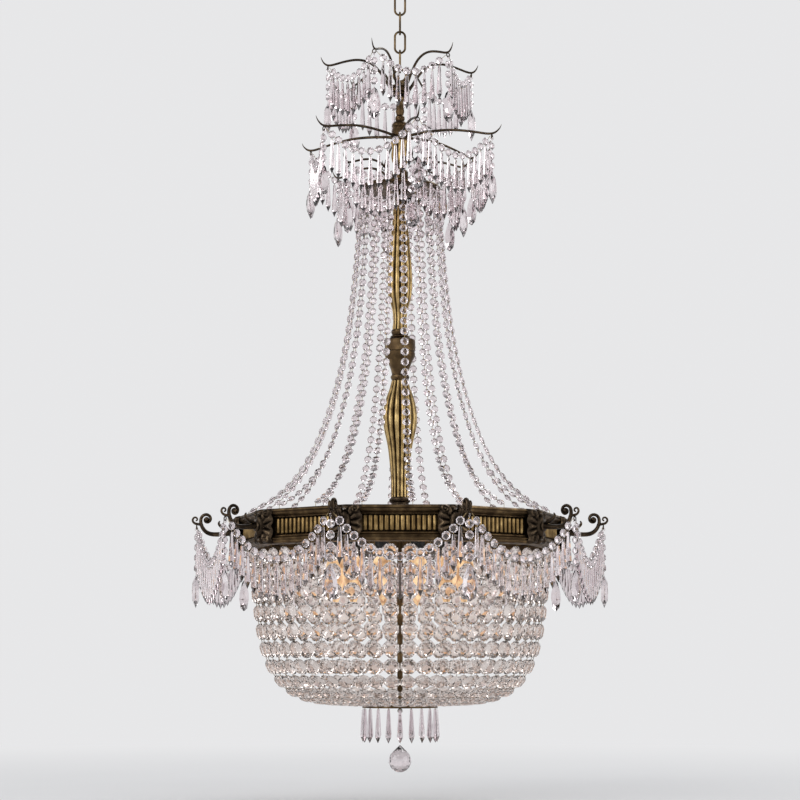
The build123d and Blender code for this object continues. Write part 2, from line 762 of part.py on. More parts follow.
# ---- crystals ----
def strand_path():
    """The line of one long strand, from under the plate out to the band."""
    reach = band_flat - RIM_T * 0.4
    start = STRAND_PLATE_R - 5
    shares = [(0, 0), (0.4, 0.115), (0.71, 0.32), (0.88, 0.56), (1, 1)]
    top = sleeve_top - PIN_CLEAR
    fall = top - band_top - STRAND_LIFT
    points = [(start + (reach - start) * out, top - fall * down) for down, out in shares]
    return Plane.XZ * Spline(*points)


def basket_path():
    """The line of one basket strand, from the band's foot in to the small ring."""
    shares = [(0, 0), (0.38, 0.085), (0.62, 0.14), (0.8, 0.235), (0.92, 0.385), (0.985, 0.65), (1, 1)]
    top = band_foot - PIN_CLEAR
    fall = top - ring_top + BASKET_RING_H / 4
    start = band_flat - BASKET_INSET
    span = start - BASKET_RING_R - BASKET_RING_T / 2 - PIN_CLEAR
    return Plane.XZ * Spline(*[(start - span * inward, top - fall * down) for down, inward in shares])


def basket_rows(path):
    """The rows of the basket down its path: distance along it, bead size and number round it.

    Beads are as large as their row has room for. Where they would get too small, two strands
    run into one.
    """
    rows = []
    edge = PIN
    size = BASKET_BEAD
    count = BASKET_STRANDS
    while True:
        middle = path.position_at(edge + size / 2, position_mode=PositionMode.LENGTH)
        size = min(BASKET_BEAD, 2 * pi * middle.X * BASKET_FILL / count)
        if size < BASKET_SMALLEST and count == BASKET_STRANDS:
            count //= 2
            size = BEAD
        if edge + size + PIN > path.length:
            return rows
        rows.append((edge + size / 2, size, count))
        edge += size + PIN


def write_ceiling():
    save("ceiling_bracket", [ceiling_bracket()])
    save("bracket_nut", [hex_nut(NUT_R, NUT_H, hole, -BRACKET_T)])
    save("canopy", [canopy()])
    save("canopy_nut", [tube(CANOPY_NUT_R, hole, canopy_foot, ring_neck)])
    save("canopy_loop", [canopy_loop()])
    for k, z in enumerate(link_centres):
        save(f"chain_link_{k + 1}", [chain_link(z, k % 2 == 0)])


def write_column():
    save("crown_loop", [crown_loop()])
    save("centre_tube", [tube(STEM_R, STEM_BORE_R, hub_top, ring_foot + BASKET_RING_H / 2)])
    save("crown_hub", [flat_hub(CROWN_HUB_R, hub_top, CROWN_HUB_H, CROWN_FRONT)])
    save("crown_spacer", [tube(SPACER_R, hole, spacer_top, middle_top)])
    save("middle_hub", [flat_hub(MIDDLE_HUB_R, middle_top, MIDDLE_HUB_H, MIDDLE_FRONT)])
    save("leaf_cup", [leaf_cup()])
    save("strand_plate", [strand_plate()])
    save("column_sleeve", [tube(SLEEVE_R, hole, sleeve_top, vase_top)])
    save("upper_vase", [upper_vase()])
    save("column_collar", [column_collar()])
    save("lower_baluster", [lower_baluster()])
    save("column_base", [column_base()])
    nuts = [spider_top - SPIDER_T, ring_top + NUT_H]
    save("column_nuts", [hex_nut(NUT_R, NUT_H, hole, top) for top in nuts])


def write_band():
    spoke_way = Pos(spoke_screw_r, 0, spider_top) * Cylinder(SCREW_R + FIT, 2 * SPOKE_SCREW_IN + 2)
    save("band_upper_rim", [rim(band_top, screw_levels[0]) - around(spoke_way, SPOKES)])
    save("band_lower_rim", [rim(panel_foot, screw_levels[1])])
    save("band_panels", at_side(band_panel()))
    save("corner_bosses", at_corner(corner_boss()))
    screws = [s for level in screw_levels for s in at_corner(screw(screw_seat, level))]
    save("rim_screws", screws + around(spoke_screw(), SPOKES))


def write_lamps():
    save("lamp_spider", [lamp_spider()])
    save("lamp_sockets", around(lamp_socket(), LAMPS, lamp_azimuth(0)))
    nut = hex_nut(SOCKET_NUT_R, SOCKET_NUT_H, NIPPLE_R + FIT, spider_top + SOCKET_NUT_H)
    save("socket_nuts", around(Pos(LAMP_RING_R, 0, 0) * nut, LAMPS, lamp_azimuth(0)))
    save("bulbs", around(bulb(), LAMPS, lamp_azimuth(0)))


def ring_of(shapes, count, first=0.0):
    """Each shape of a list, which is drawn along +X, copied around the axis."""
    return [copy for shape in shapes for copy in around(shape, count, first)]


def hung_between(hook_r, hook_z, count, beads, sag):
    """The garland between two of the hooks that stand in a ring of count, drawn along +X."""
    half = pi / count
    reach = hook_r * cos(half)
    side = hook_r * sin(half) - HOOK_R - HOOK_WIRE_R
    return garland(Vector(reach, -side, hook_z), Vector(reach, side, hook_z), beads, sag)


def write_tiers():
    """The three tiers of fronds with their garlands and drops. Returns their wire pins."""
    tiers = [
        ("crown_fronds", CROWN_HUB_R, spacer_top, CROWN_TIP_R, hub_top + CROWN_TIP_UP, CROWN_FRONT),
        ("middle_fronds", MIDDLE_HUB_R, leaf_top, MIDDLE_TIP_R, middle_top + MIDDLE_TIP_UP, MIDDLE_FRONT),
        ("lower_fronds", LOWER_HUB_R, plate_top, LOWER_TIP_R, lower_top + LOWER_TIP_UP, LOWER_FRONT),
    ]
    strings = [(CROWN_BEADS, CROWN_SAG), (MIDDLE_BEADS, MIDDLE_SAG), (LOWER_BEADS, LOWER_SAG)]
    beads = []
    pins = []
    prisms = []
    drops = []
    for (name, hub_r, hub_foot, tip_r, tip_z, front), (count, sag) in zip(tiers, strings):
        arm, hook_r, hook_z = frond(hub_r, hub_foot, tip_r, tip_z)
        save(name, around(arm, FRONDS, front))
        made = hung_between(hook_r, hook_z, FRONDS, count, sag)
        for kept, new in zip((beads, pins, prisms), made):
            kept.extend(ring_of(new, FRONDS, front + 180 / FRONDS))
        drops += ring_of(drop(hook_r, hook_z, CROWN_DROP_BEADS), FRONDS, front)
    save("crown_beads", beads)
    save("crown_prisms", prisms)
    save("crown_drops", drops)
    return pins


def write_strands():
    """The long strands from the strand plate down to the band. Returns their wire pins."""
    path = strand_path()
    step = path.length / STRAND_BEADS
    lengths = [step * (k + 0.5) for k in range(STRAND_BEADS)]
    beads, pins = strung(path, [BEAD] * STRAND_BEADS, lengths, Vector(1, 0, 0))
    end = path.position_at(1)
    pins.append(rod(end - Vector(0, 0, PIN_R), end - Vector(0, 0, STRAND_LIFT), PIN_R))
    save("strand_beads", ring_of(beads, STRANDS, STRAND_FRONT))
    return ring_of(pins, STRANDS, STRAND_FRONT)


def write_arms():
    """The scroll arms with their garlands, and the ten drops, each of which swings by itself."""
    arm, hook_r, hook_z = scroll_arm()
    save("scroll_arms", at_corner(arm))
    beads, pins, prisms = hung_between(hook_r, hook_z, SIDES, ARM_BEADS, ARM_SAG)
    save("arm_beads", ring_of(beads, SIDES))
    save("arm_prisms", ring_of(prisms, SIDES))
    save("arm_pins", ring_of(pins, SIDES))
    hung = drop(hook_r, hook_z, ARM_DROP_BEADS)
    for k in range(SIDES):
        azimuth = corner_turn + 360 * k / SIDES
        save(f"arm_drop_{k + 1}", [turn(azimuth) * shape for shape in hung])
        x, y = hook_r * sin(radians(azimuth)), -hook_r * cos(radians(azimuth))
        print(f"arm_drop_{k + 1} hangs at {x:.3f}, {y:.3f}, {hook_z - HOOK_R:.3f}")


def strung_rows(path, rows):
    """One bead of each row, strung down the path."""
    sizes = [row[1] for row in rows]
    lengths = [row[0] for row in rows]
    return strung(path, sizes, lengths, Vector(1, 0, 0))


def write_basket():
    """The basket of large beads, its ring with the prisms, and the ball."""
    path = basket_path()
    rows = basket_rows(path)
    open_rows = [row for row in rows if row[2] == BASKET_STRANDS]
    joined_rows = [row for row in rows if row[2] < BASKET_STRANDS]
    first = 180 / BASKET_STRANDS
    beads, pins = strung_rows(path, open_rows)
    all_beads = ring_of(beads, BASKET_STRANDS, first)
    all_pins = ring_of(pins[:-1], BASKET_STRANDS, first)
    beads, pins = strung_rows(path, joined_rows)
    all_beads += ring_of(beads, BASKET_STRANDS // 2)
    all_pins += ring_of(pins[1:], BASKET_STRANDS // 2)
    last, first_joined = open_rows[-1], joined_rows[0]
    foot = path.position_at(last[0] + last[1] / 2, position_mode=PositionMode.LENGTH)
    joined_edge = first_joined[0] - first_joined[1] / 2
    head = path.position_at(joined_edge, position_mode=PositionMode.LENGTH)
    apart = degrees(LEAD_APART * PIN_R / head.X)
    for side in (-1, 1):
        start = foot.rotate(Axis.Z, side * first)
        end = head.rotate(Axis.Z, side * apart)
        run = (end - start).normalized()
        lean = radians(run.get_angle(head - foot))
        back = run * (PIN_R * tan(lean) + PIN_CLEAR)
        all_pins += around(rod(start + back, end - back, PIN_R), BASKET_STRANDS // 2)
    save("basket_beads", all_beads)
    level = ring_foot - PRISM_GAP
    pendant = Pos(BASKET_RING_R, 0, level) * prism(RING_PRISM_LENGTH, PRISM_W)
    pin = rod(Vector(BASKET_RING_R, 0, ring_foot), Vector(BASKET_RING_R, 0, level), PIN_R)
    save("ring_prisms", around(pendant, RING_PRISMS))
    save("basket_pins", all_pins + around(pin, RING_PRISMS))
    save("basket_ring", [basket_ring()])
    strand, foot = ball_strand()
    save("ball_strand", strand)
    save("ball", hung_ball(foot))
    print(f"ball strand hangs at {eye_z - HOOK_R:.3f}, ball at {foot:.3f}")
    print("basket rows", [(round(row[1], 1), row[2]) for row in rows])


write_ceiling()
write_column()
write_band()
write_lamps()
save("crown_pins", write_tiers() + write_strands())
write_arms()
write_basket()
pivots = [canopy_pivot, *[z - LINK_LENGTH / 2 + LINK_WIRE_R for z in link_centres]]
print("chain pivots", [round(z, 3) for z in pivots])
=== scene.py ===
# %% [markdown]
# # A crystal chandelier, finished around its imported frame
# The frame holds every piece of the light at its real size, in metres, with the origin on the
# ceiling. This lesson gives each of them the look of the real thing: old brass with burnished
# high spots, cut glass, and warm candle bulbs. It starts with the frame and its measured box,
# so that the finished light can be compared with it at the end.

# %% Load the frame
import json
import math

import bpy
import numpy as np
from mathutils import Matrix, Vector


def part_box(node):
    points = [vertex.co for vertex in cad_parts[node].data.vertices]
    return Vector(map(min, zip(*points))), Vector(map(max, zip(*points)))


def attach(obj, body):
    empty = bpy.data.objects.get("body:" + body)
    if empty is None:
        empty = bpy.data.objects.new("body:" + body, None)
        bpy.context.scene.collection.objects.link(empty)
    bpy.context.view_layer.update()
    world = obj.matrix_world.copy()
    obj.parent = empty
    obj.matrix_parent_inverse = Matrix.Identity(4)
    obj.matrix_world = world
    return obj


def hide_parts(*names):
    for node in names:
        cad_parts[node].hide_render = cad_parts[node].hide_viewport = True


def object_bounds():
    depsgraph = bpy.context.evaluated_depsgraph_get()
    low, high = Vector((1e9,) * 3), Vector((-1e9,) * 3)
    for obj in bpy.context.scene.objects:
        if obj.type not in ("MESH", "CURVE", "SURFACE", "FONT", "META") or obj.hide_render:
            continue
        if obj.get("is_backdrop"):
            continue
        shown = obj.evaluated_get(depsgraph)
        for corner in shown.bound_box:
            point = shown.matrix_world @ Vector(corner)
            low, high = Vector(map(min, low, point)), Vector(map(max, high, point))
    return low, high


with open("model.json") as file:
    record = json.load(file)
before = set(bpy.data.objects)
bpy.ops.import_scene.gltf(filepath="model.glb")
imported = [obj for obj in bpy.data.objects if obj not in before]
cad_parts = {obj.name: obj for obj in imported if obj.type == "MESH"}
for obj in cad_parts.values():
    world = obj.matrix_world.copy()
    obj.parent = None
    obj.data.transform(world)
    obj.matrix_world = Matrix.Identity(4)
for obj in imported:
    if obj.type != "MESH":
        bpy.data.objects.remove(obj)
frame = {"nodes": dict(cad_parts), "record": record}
nodes = frame["nodes"]
cad_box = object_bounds()
MM = 0.001
print("frame:", len(nodes), "nodes,", [round(v, 3) for v in cad_box[0]], [round(v, 3) for v in cad_box[1]])

# %% [markdown]
# ## Small helpers
# Blender's operators act on whatever is selected, and the frame arrives selected, so every new
# primitive starts from an empty selection. `finish` puts a made piece's place into its mesh,
# which leaves the object itself at the origin, as the frame's own nodes are. Heights are read
# from the frame with `low` and `high`, so no place is typed twice.

# %% Selecting, placing and finishing
ops = bpy.ops


def pick(*objects):
    ops.object.select_all(action="DESELECT")
    for one in objects:
        one.select_set(True)
    bpy.context.view_layer.objects.active = objects[0]


def finish(piece, name, body, material, *replaced):
    pick(piece)
    ops.object.transform_apply(location=True, rotation=True, scale=True)
    piece.name = name
    piece.data.name = name
    piece.data.materials.clear()
    piece.data.materials.append(material)
    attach(piece, body)
    if replaced:
        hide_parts(*replaced)
    print(name, "has", len(piece.data.polygons), "faces")
    return piece


def low(node):
    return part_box(node)[0].z


def high(node):
    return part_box(node)[1].z


def select_only(piece, vertices):
    """Goes into edit mode with nothing but these vertices selected."""
    ops.object.mode_set(mode="EDIT")
    ops.mesh.select_mode(type="VERT")
    ops.mesh.select_all(action="DESELECT")
    ops.object.mode_set(mode="OBJECT")
    for index in vertices:
        piece.data.vertices[index].select = True
    ops.object.mode_set(mode="EDIT")


def smooth(piece, angle):
    """Shades the piece smooth where its faces meet at less than this many degrees."""
    pick(piece)
    ops.object.shade_smooth_by_angle(angle=math.radians(angle))
    return piece


# %% [markdown]
# Most of the metal was turned, cast or drawn. A turned or cast round piece starts as a flat
# circle on the axis and is drawn out ring by ring, each ring scaled to its own width, as a
# lathe would show it. A fluted one starts with its circle pulled in at each groove, so that
# the flutes run down the whole piece.

# %% Drawing a round piece out ring by ring
def eased(pairs, steps):
    """Many points on a smooth line through a few (place, value) pairs."""
    places, values = np.array(pairs, float).T
    slopes = np.gradient(values, places)
    dense = np.linspace(places[0], places[-1], steps)
    k = np.clip(np.searchsorted(places, dense, side="right") - 1, 0, len(places) - 2)
    span = places[k + 1] - places[k]
    t = (dense - places[k]) / span
    start = values[k] * (1 + 2 * t) * (1 - t) ** 2 + slopes[k] * span * t * (1 - t) ** 2
    end = values[k + 1] * t * t * (3 - 2 * t) + slopes[k + 1] * span * t * t * (t - 1)
    return list(zip(dense, start + end))


def circle(sides, radius, height, turned=0.0):
    """A ring of vertices on the axis, in metres."""
    ops.object.select_all(action="DESELECT")
    ops.mesh.primitive_circle_add(
        vertices=sides, radius=radius, location=(0, 0, height), rotation=(0, 0, turned))
    piece = bpy.context.object
    ops.object.transform_apply(location=True, rotation=True, scale=True)
    return piece


def select_all_of(piece):
    """Goes into edit mode with the whole piece selected."""
    pick(piece)
    ops.object.mode_set(mode="EDIT")
    ops.mesh.select_all(action="SELECT")


def face_outwards():
    """Points every face outwards and leaves edit mode."""
    ops.mesh.select_all(action="SELECT")
    ops.mesh.normals_make_consistent(inside=False)
    ops.object.mode_set(mode="OBJECT")


def through_rings(rings, turn=0.0):
    """Draws the selection out through rings of (radius, height) in millimetres."""
    for (r0, z0), (r1, z1) in zip(rings, rings[1:]):
        ops.mesh.extrude_region_move(TRANSFORM_OT_translate={"value": (0, 0, (z1 - z0) * MM)})
        ops.transform.resize(value=(r1 / r0, r1 / r0, 1), center_override=(0, 0, z1 * MM))
        if turn:
            ops.transform.rotate(value=turn, orient_axis="Z", center_override=(0, 0, z1 * MM))


def drawn_out(rings, sides=48, grooves=None):
    """A closed piece on the axis through rings of (radius, height) in millimetres.

    grooves gives how far each vertex of one flute is pulled in, and repeats round the circle.
    """
    radius, height = rings[0]
    piece = circle(sides, radius * MM, height * MM)
    for k, depth in enumerate(grooves or []):
        select_only(piece, [v.index for v in piece.data.vertices if v.index % len(grooves) == k])
        ops.transform.resize(value=(1 - depth, 1 - depth, 1), center_override=(0, 0, height * MM))
        ops.object.mode_set(mode="OBJECT")
    select_all_of(piece)
    ops.mesh.edge_face_add()
    through_rings(rings)
    face_outwards()
    return piece


def rings_down(node, radius, shares):
    """Rings from (share of the height, share of the radius) down a frame node's own span."""
    top, foot = high(node) / MM, low(node) / MM
    return [(radius * wide, top - (top - foot) * down) for down, wide in shares]


# %% [markdown]
# Polishing brightens what stands proud, and dirt stays in the grooves. A fluted piece therefore
# carries a number on each of its vertices, called `relief`, that its finish reads later.

# %% Noting the relief of a piece
SAME_RING = 0.05 * MM


def vertex_places(mesh):
    """The mesh's vertices as rows of x, y and z."""
    places = np.empty(len(mesh.vertices) * 3)
    mesh.vertices.foreach_get("co", places)
    return places.reshape(-1, 3)


def note_relief(piece, proud):
    piece.data.attributes.new("relief", "FLOAT", "POINT").data.foreach_set("value", proud)


def mark_relief(piece):
    """Notes on each vertex how proud it stands of its own ring: 1 on a ridge, -1 in a groove."""
    places = vertex_places(piece.data)
    radius = np.hypot(places[:, 0], places[:, 1])
    _, ring = np.unique(np.round(places[:, 2] / SAME_RING), return_inverse=True)
    widest = np.zeros(ring.max() + 1)
    narrowest = np.full(ring.max() + 1, np.inf)
    np.maximum.at(widest, ring, radius)
    np.minimum.at(narrowest, ring, radius)
    span = np.maximum(widest - narrowest, 1e-6)[ring]
    note_relief(piece, 2 * (radius - narrowest[ring]) / span - 1)


# %% [markdown]
# The light has the same arm, reed or bulb many times over. Each is drawn once, along +X, and
# copied with a mesh of its own, and the copies are joined. A bar of drawn metal is a curve with
# a round section that is turned into a mesh, and a hook is a small ring of wire.

# %% Copies round the axis
def joined(*pieces):
    pick(*pieces)
    ops.object.join()
    return bpy.context.object


def repeated(piece, matrices):
    """The piece copied by each matrix and joined, in place of the piece itself."""
    copies = []
    for matrix in matrices:
        copy = piece.copy()
        copy.data = piece.data.copy()
        copy.data.transform(matrix)
        bpy.context.scene.collection.objects.link(copy)
        copies.append(copy)
    bpy.data.objects.remove(piece)
    return joined(*copies)


def around(piece, count, first=0.0):
    """The piece, drawn along +X, repeated round the axis. Azimuth 0 is the front."""
    turns = [math.radians(first + 360 * k / count - 90) for k in range(count)]
    return repeated(piece, [Matrix.Rotation(turn, 4, "Z") for turn in turns])


# %% Bars along a line, and hook rings
def bar(points, flat, fine=6):
    """A round bar along (radius, height, half thickness) in millimetres, drawn along +X."""
    line = bpy.data.curves.new("line", "CURVE")
    line.dimensions = "3D"
    line.bevel_depth = MM
    line.bevel_resolution = 2
    line.use_fill_caps = True
    line.resolution_u = fine
    run = line.splines.new("NURBS")
    run.points.add(len(points) - 1)
    run.order_u = 4
    run.use_endpoint_u = True
    for point, (radius, height, thick) in zip(run.points, points):
        point.co = (radius * MM, 0, height * MM, 1)
        point.radius = thick
    piece = bpy.data.objects.new("bar", line)
    bpy.context.scene.collection.objects.link(piece)
    pick(piece)
    ops.object.convert(target="MESH")
    piece = bpy.context.object
    select_all_of(piece)
    ops.transform.resize(value=(1, flat, 1), center_override=(0, 0, 0))
    face_outwards()
    return piece


HOOK_R = 3.5
HOOK_WIRE = 1.0


def wire_ring(radius, height):
    """A small hook ring at (radius, height), in millimetres, drawn along +X."""
    ops.object.select_all(action="DESELECT")
    ops.mesh.primitive_torus_add(
        location=(radius * MM, 0, height * MM), rotation=(0, math.pi / 2, 0),
        major_radius=HOOK_R * MM, minor_radius=HOOK_WIRE * MM, major_segments=20, minor_segments=8)
    piece = bpy.context.object
    ops.object.transform_apply(location=True, rotation=True, scale=True)
    return piece


# %% [markdown]
# ## Finishes
# The metal is old brass: dark brown in the hollows, golden where hands and polishing have
# reached, with fine uneven patches. The patches come from noise on Object coordinates, so the
# pattern has the same scale on every piece. Where two surfaces meet or parts come close, the
# Ambient Occlusion node darkens the colour: painted shade, which also stands for dirt there.
# The `relief` that the fluted pieces and the corner ornaments carry says which places stand
# proud and are rubbed bright.

# %% Node helpers
def new_material(name):
    material = bpy.data.materials.new(name)
    material.use_nodes = True
    tree = material.node_tree
    tree.nodes.clear()
    return material, tree


def add(tree, kind, **settings):
    made = tree.nodes.new("ShaderNode" + kind)
    for key, value in settings.items():
        setattr(made, key, value)
    return made


def noise(tree, where, scale, detail=4.0):
    made = add(tree, "TexNoise")
    made.inputs["Scale"].default_value = scale
    made.inputs["Detail"].default_value = detail
    tree.links.new(where, made.inputs["Vector"])
    return made.outputs["Fac"]


def ramp(tree, source, stops):
    made = add(tree, "ValToRGB")
    band = made.color_ramp
    while len(band.elements) < len(stops):
        band.elements.new(0.5)
    for element, (place, colour) in zip(band.elements, stops):
        element.position = place
        element.color = (*colour, 1.0)
    tree.links.new(source, made.inputs["Fac"])
    return made.outputs["Color"]


def arithmetic(tree, operation, first, second):
    made = add(tree, "Math", operation=operation)
    for socket, value in zip(made.inputs, (first, second)):
        if isinstance(value, (int, float)):
            socket.default_value = value
        else:
            tree.links.new(value, socket)
    return made.outputs["Value"]


def between(tree, source, start, end, low_value, high_value, smooth_step=False):
    made = add(tree, "MapRange")
    if smooth_step:
        made.interpolation_type = "SMOOTHSTEP"
    sockets = ("From Min", "From Max", "To Min", "To Max")
    for socket, value in zip(sockets, (start, end, low_value, high_value)):
        made.inputs[socket].default_value = value
    tree.links.new(source, made.inputs["Value"])
    return made.outputs["Result"]


def bump(tree, height, strength, distance):
    made = add(tree, "Bump")
    made.inputs["Strength"].default_value = strength
    made.inputs["Distance"].default_value = distance
    tree.links.new(height, made.inputs["Height"])
    return made.outputs["Normal"]


def coordinates(tree):
    return add(tree, "TexCoord").outputs["Object"]


def shown(tree, shader):
    out = add(tree, "OutputMaterial")
    tree.links.new(shader, out.inputs["Surface"])


# %% Metal finishes
# The reach and the darkest step of the painted shade, which also stands for dirt, that the Ambient
# Occlusion node puts where surfaces meet.
SHADE_AND_DIRT_REACH = 8 * MM
GRAIN_SCALE = 900.0
GRAIN_SHARE = 0.25
RELIEF_SHARE = 0.2
DARKEST_SHADE_AND_DIRT = -0.3


def worn_and_shaded_tone(tree, patches, grain):
    """Patches and grain, brighter where the relief is proud, with painted shade where surfaces meet."""
    relief = add(tree, "Attribute", attribute_name="relief").outputs["Fac"]
    # Painted shade: Ambient Occlusion darkens the colour where surfaces meet and parts come close.
    corners = add(tree, "AmbientOcclusion")
    corners.samples = 4
    corners.inputs["Distance"].default_value = SHADE_AND_DIRT_REACH
    shade_and_dirt = between(tree, corners.outputs["AO"], 0.35, 1.0, DARKEST_SHADE_AND_DIRT, 0.0)
    tone = arithmetic(tree, "MULTIPLY", grain, GRAIN_SHARE)
    tone = arithmetic(tree, "ADD", tone, arithmetic(tree, "MULTIPLY", patches, 1 - GRAIN_SHARE))
    tone = arithmetic(tree, "ADD", tone, arithmetic(tree, "MULTIPLY", relief, RELIEF_SHARE))
    return arithmetic(tree, "ADD", tone, shade_and_dirt)


def metal(name, hollow, middle, proud, rough=(0.28, 0.5), patch=60.0, metallic=1.0):
    """Three tones from hollow to proud, and roughness from proud to hollow."""
    material, tree = new_material(name)
    where = coordinates(tree)
    patches = noise(tree, where, patch, 6.0)
    grain = noise(tree, where, GRAIN_SCALE, 3.0)
    tone = worn_and_shaded_tone(tree, patches, grain)
    colour = ramp(tree, tone, [(0.25, hollow), (0.52, middle), (0.8, proud)])
    body = add(tree, "BsdfPrincipled")
    body.inputs["Metallic"].default_value = metallic
    tree.links.new(colour, body.inputs["Base Color"])
    tree.links.new(between(tree, tone, 0.2, 0.8, rough[1], rough[0]), body.inputs["Roughness"])
    tree.links.new(bump(tree, grain, 0.25, 0.4 * MM), body.inputs["Normal"])
    shown(tree, body.outputs["BSDF"])
    print("metal finish", name)
    return material


old_brass = metal("old_brass", (0.045, 0.027, 0.012), (0.23, 0.15, 0.06), (0.62, 0.45, 0.2))
brown_brass = metal(
    "brown_brass", (0.025, 0.015, 0.009), (0.105, 0.068, 0.034), (0.34, 0.23, 0.11), (0.32, 0.55))
dark_bronze = metal(
    "dark_bronze", (0.018, 0.013, 0.009), (0.062, 0.044, 0.029), (0.19, 0.135, 0.08), (0.3, 0.5))
chain_brass = metal(
    "chain_brass", (0.03, 0.02, 0.011), (0.13, 0.088, 0.045), (0.4, 0.29, 0.15), (0.3, 0.5))
zinc = metal("zinc", (0.25, 0.25, 0.25), (0.45, 0.45, 0.44), (0.62, 0.62, 0.6), (0.3, 0.45), 200.0)
pin_wire = metal(
    "pin_wire", (0.16, 0.11, 0.05), (0.36, 0.27, 0.13), (0.62, 0.5, 0.28), (0.2, 0.35), 400.0)
socket_resin = metal("socket_resin", (0.01,) * 3, (0.02,) * 3, (0.05,) * 3, (0.4, 0.6), metallic=0.0)

# %% [markdown]
# ## Cut glass and bulbs
# The crystals are clear lead glass with a breath of pink. Each facet bends light another way,
# so the sparkle comes from the shape, and the material only has to be clean: a Principled
# shader with full transmission. A slow noise changes the tint a little from bead to bead, and
# the beads round the bulbs get a warmer tint, which is painted warm light from the bulbs. The
# bulbs are lit: their frosted glass glows.

# %% Glass
GLASS_INDEX = 1.56
GLASS_ROUGH = 0.01
TINT_SCALE = 70.0
RIPPLE_SCALE = 400.0


def glass(name, light, dark):
    """Clear glass whose tint wanders slowly between two tones."""
    material, tree = new_material(name)
    where = coordinates(tree)
    tint = ramp(tree, noise(tree, where, TINT_SCALE, 2.0), [(0.35, dark), (0.65, light)])
    body = add(tree, "BsdfPrincipled")
    body.inputs["Transmission Weight"].default_value = 1.0
    body.inputs["Roughness"].default_value = GLASS_ROUGH
    body.inputs["IOR"].default_value = GLASS_INDEX
    tree.links.new(tint, body.inputs["Base Color"])
    tree.links.new(bump(tree, noise(tree, where, RIPPLE_SCALE), 0.02, 0.5 * MM), body.inputs["Normal"])
    shown(tree, body.outputs["BSDF"])
    print("glass finish", name)
    return material


crystal = glass("crystal", (0.915, 0.85, 0.865), (0.725, 0.645, 0.665))
# The same glass with a warmer tint: painted warm light from the bulbs, for the basket's beads.
warm_crystal = glass("warm_crystal", (0.94, 0.865, 0.825), (0.75, 0.655, 0.605))

# %% Lit bulb glass
GLOW_SCALE = 75.0


def lit_glass(name, edge, middle, strength):
    """Glass that glows in two tones, patch by patch."""
    material, tree = new_material(name)
    where = coordinates(tree)
    glow = ramp(tree, noise(tree, where, GLOW_SCALE), [(0.38, edge), (0.62, middle)])
    body = add(tree, "BsdfPrincipled")
    body.inputs["Roughness"].default_value = 0.1
    body.inputs["Emission Strength"].default_value = strength
    tree.links.new(glow, body.inputs["Emission Color"])
    tree.links.new(glow, body.inputs["Base Color"])
    shown(tree, body.outputs["BSDF"])
    print("bulb finish", name)
    return material


bulb_glass = lit_glass("bulb_glass", (0.4, 0.22, 0.11), (0.95, 0.66, 0.38), 0.72)

# %% [markdown]
# Every node of the frame first gets the finish of its material, so that nuts, screws, holders
# and the other small pieces are done in one go. The chain and its loops then get a brass of
# their own, and the steel tube in the middle gets the brown brass of the pieces round it.

# %% Give every frame node a finish to begin with
finishes = {
    "antique_brass": brown_brass,
    "dark_bronze": dark_bronze,
    "steel": zinc,
    "pin_wire": pin_wire,
    "socket_black": socket_resin,
    "lamp_glass": bulb_glass,
    "crystal": crystal,
}
for part in frame["record"]["subparts"]:
    mesh = nodes[part["node"]].data
    mesh.materials.clear()
    mesh.materials.append(finishes[part["material_slot"]])
for name in ["crown_loop", "canopy_loop"] + [f"chain_link_{k}" for k in range(1, 6)]:
    nodes[name].data.materials[0] = chain_brass
nodes["centre_tube"].data.materials[0] = brown_brass

# %% [markdown]
# ## The column
# On the real light the column is a stack of castings on a threaded tube. The two vases are
# fluted: rounded ribs with sharp grooves between them, rubbed golden on the ribs and nearly
# black in the grooves. Eight vertices make one flute, and the groove is the vertex that is
# pulled in furthest.

# %% Fluted vases
FLUTE_POINTS = 8
FLUTE_SHARP = 0.7
FLUTE = [1 - abs(math.sin(math.pi * k / FLUTE_POINTS)) ** FLUTE_SHARP for k in range(FLUTE_POINTS)]


def fluted(node, radius, shares, flutes, name, depth=0.2, steps=40):
    """A fluted casting on the axis in place of a frame node."""
    rings = rings_down(node, radius, eased(shares, steps))
    piece = drawn_out(rings, flutes * len(FLUTE), [depth * share for share in FLUTE])
    mark_relief(piece)
    return finish(smooth(piece, 50), name, "light", old_brass, node)


VASE_R = 23.0
VASE_FLUTES = 12
upper = [
    (0, 0.56), (0.1, 0.6), (0.32, 0.8), (0.54, 0.98), (0.64, 1.0), (0.74, 0.92), (0.83, 0.66),
    (0.92, 0.55), (1, 0.62),
]
fluted("upper_vase", VASE_R, upper, VASE_FLUTES, "fluted_upper_vase")

BALUSTER_R = 31.0
BALUSTER_FLUTES = 14
lower = [
    (0, 0.5), (0.06, 0.6), (0.14, 0.8), (0.24, 0.96), (0.32, 1.0), (0.42, 0.93), (0.55, 0.74),
    (0.72, 0.6), (0.88, 0.53), (1, 0.53),
]
fluted("lower_baluster", BALUSTER_R, lower, BALUSTER_FLUTES, "fluted_lower_baluster")

# %% [markdown]
# Under the middle tier sits a cup of overlapping leaves. It is drawn out as the vases are, but
# its flutes are few and deep, one for a leaf, and it flares to a lip.

# %% Leaf cup
CUP_R = 17.5
LEAVES = 9
cup = [(0, 0.95), (0.06, 1.0), (0.2, 0.86), (0.5, 0.94), (0.75, 0.8), (0.92, 0.52), (1, 0.46)]
fluted("leaf_cup", CUP_R, cup, LEAVES, "leaf_cup_of_leaves", 0.24, 24)

# %% [markdown]
# Between the vases stands a turned cup with square shoulders, a fine joint line round it and a
# neck that carries the lower vase. It was turned on a lathe, so it is a plain round outline,
# with each bead and fillet given as its own pair of rings.

# %% Collar cup and base
def turned(node, radius, shares, material, name, sides=48):
    """A turned piece on the axis in place of a frame node."""
    piece = drawn_out(rings_down(node, radius, shares), sides)
    return finish(smooth(piece, 32), name, "light", material, node)


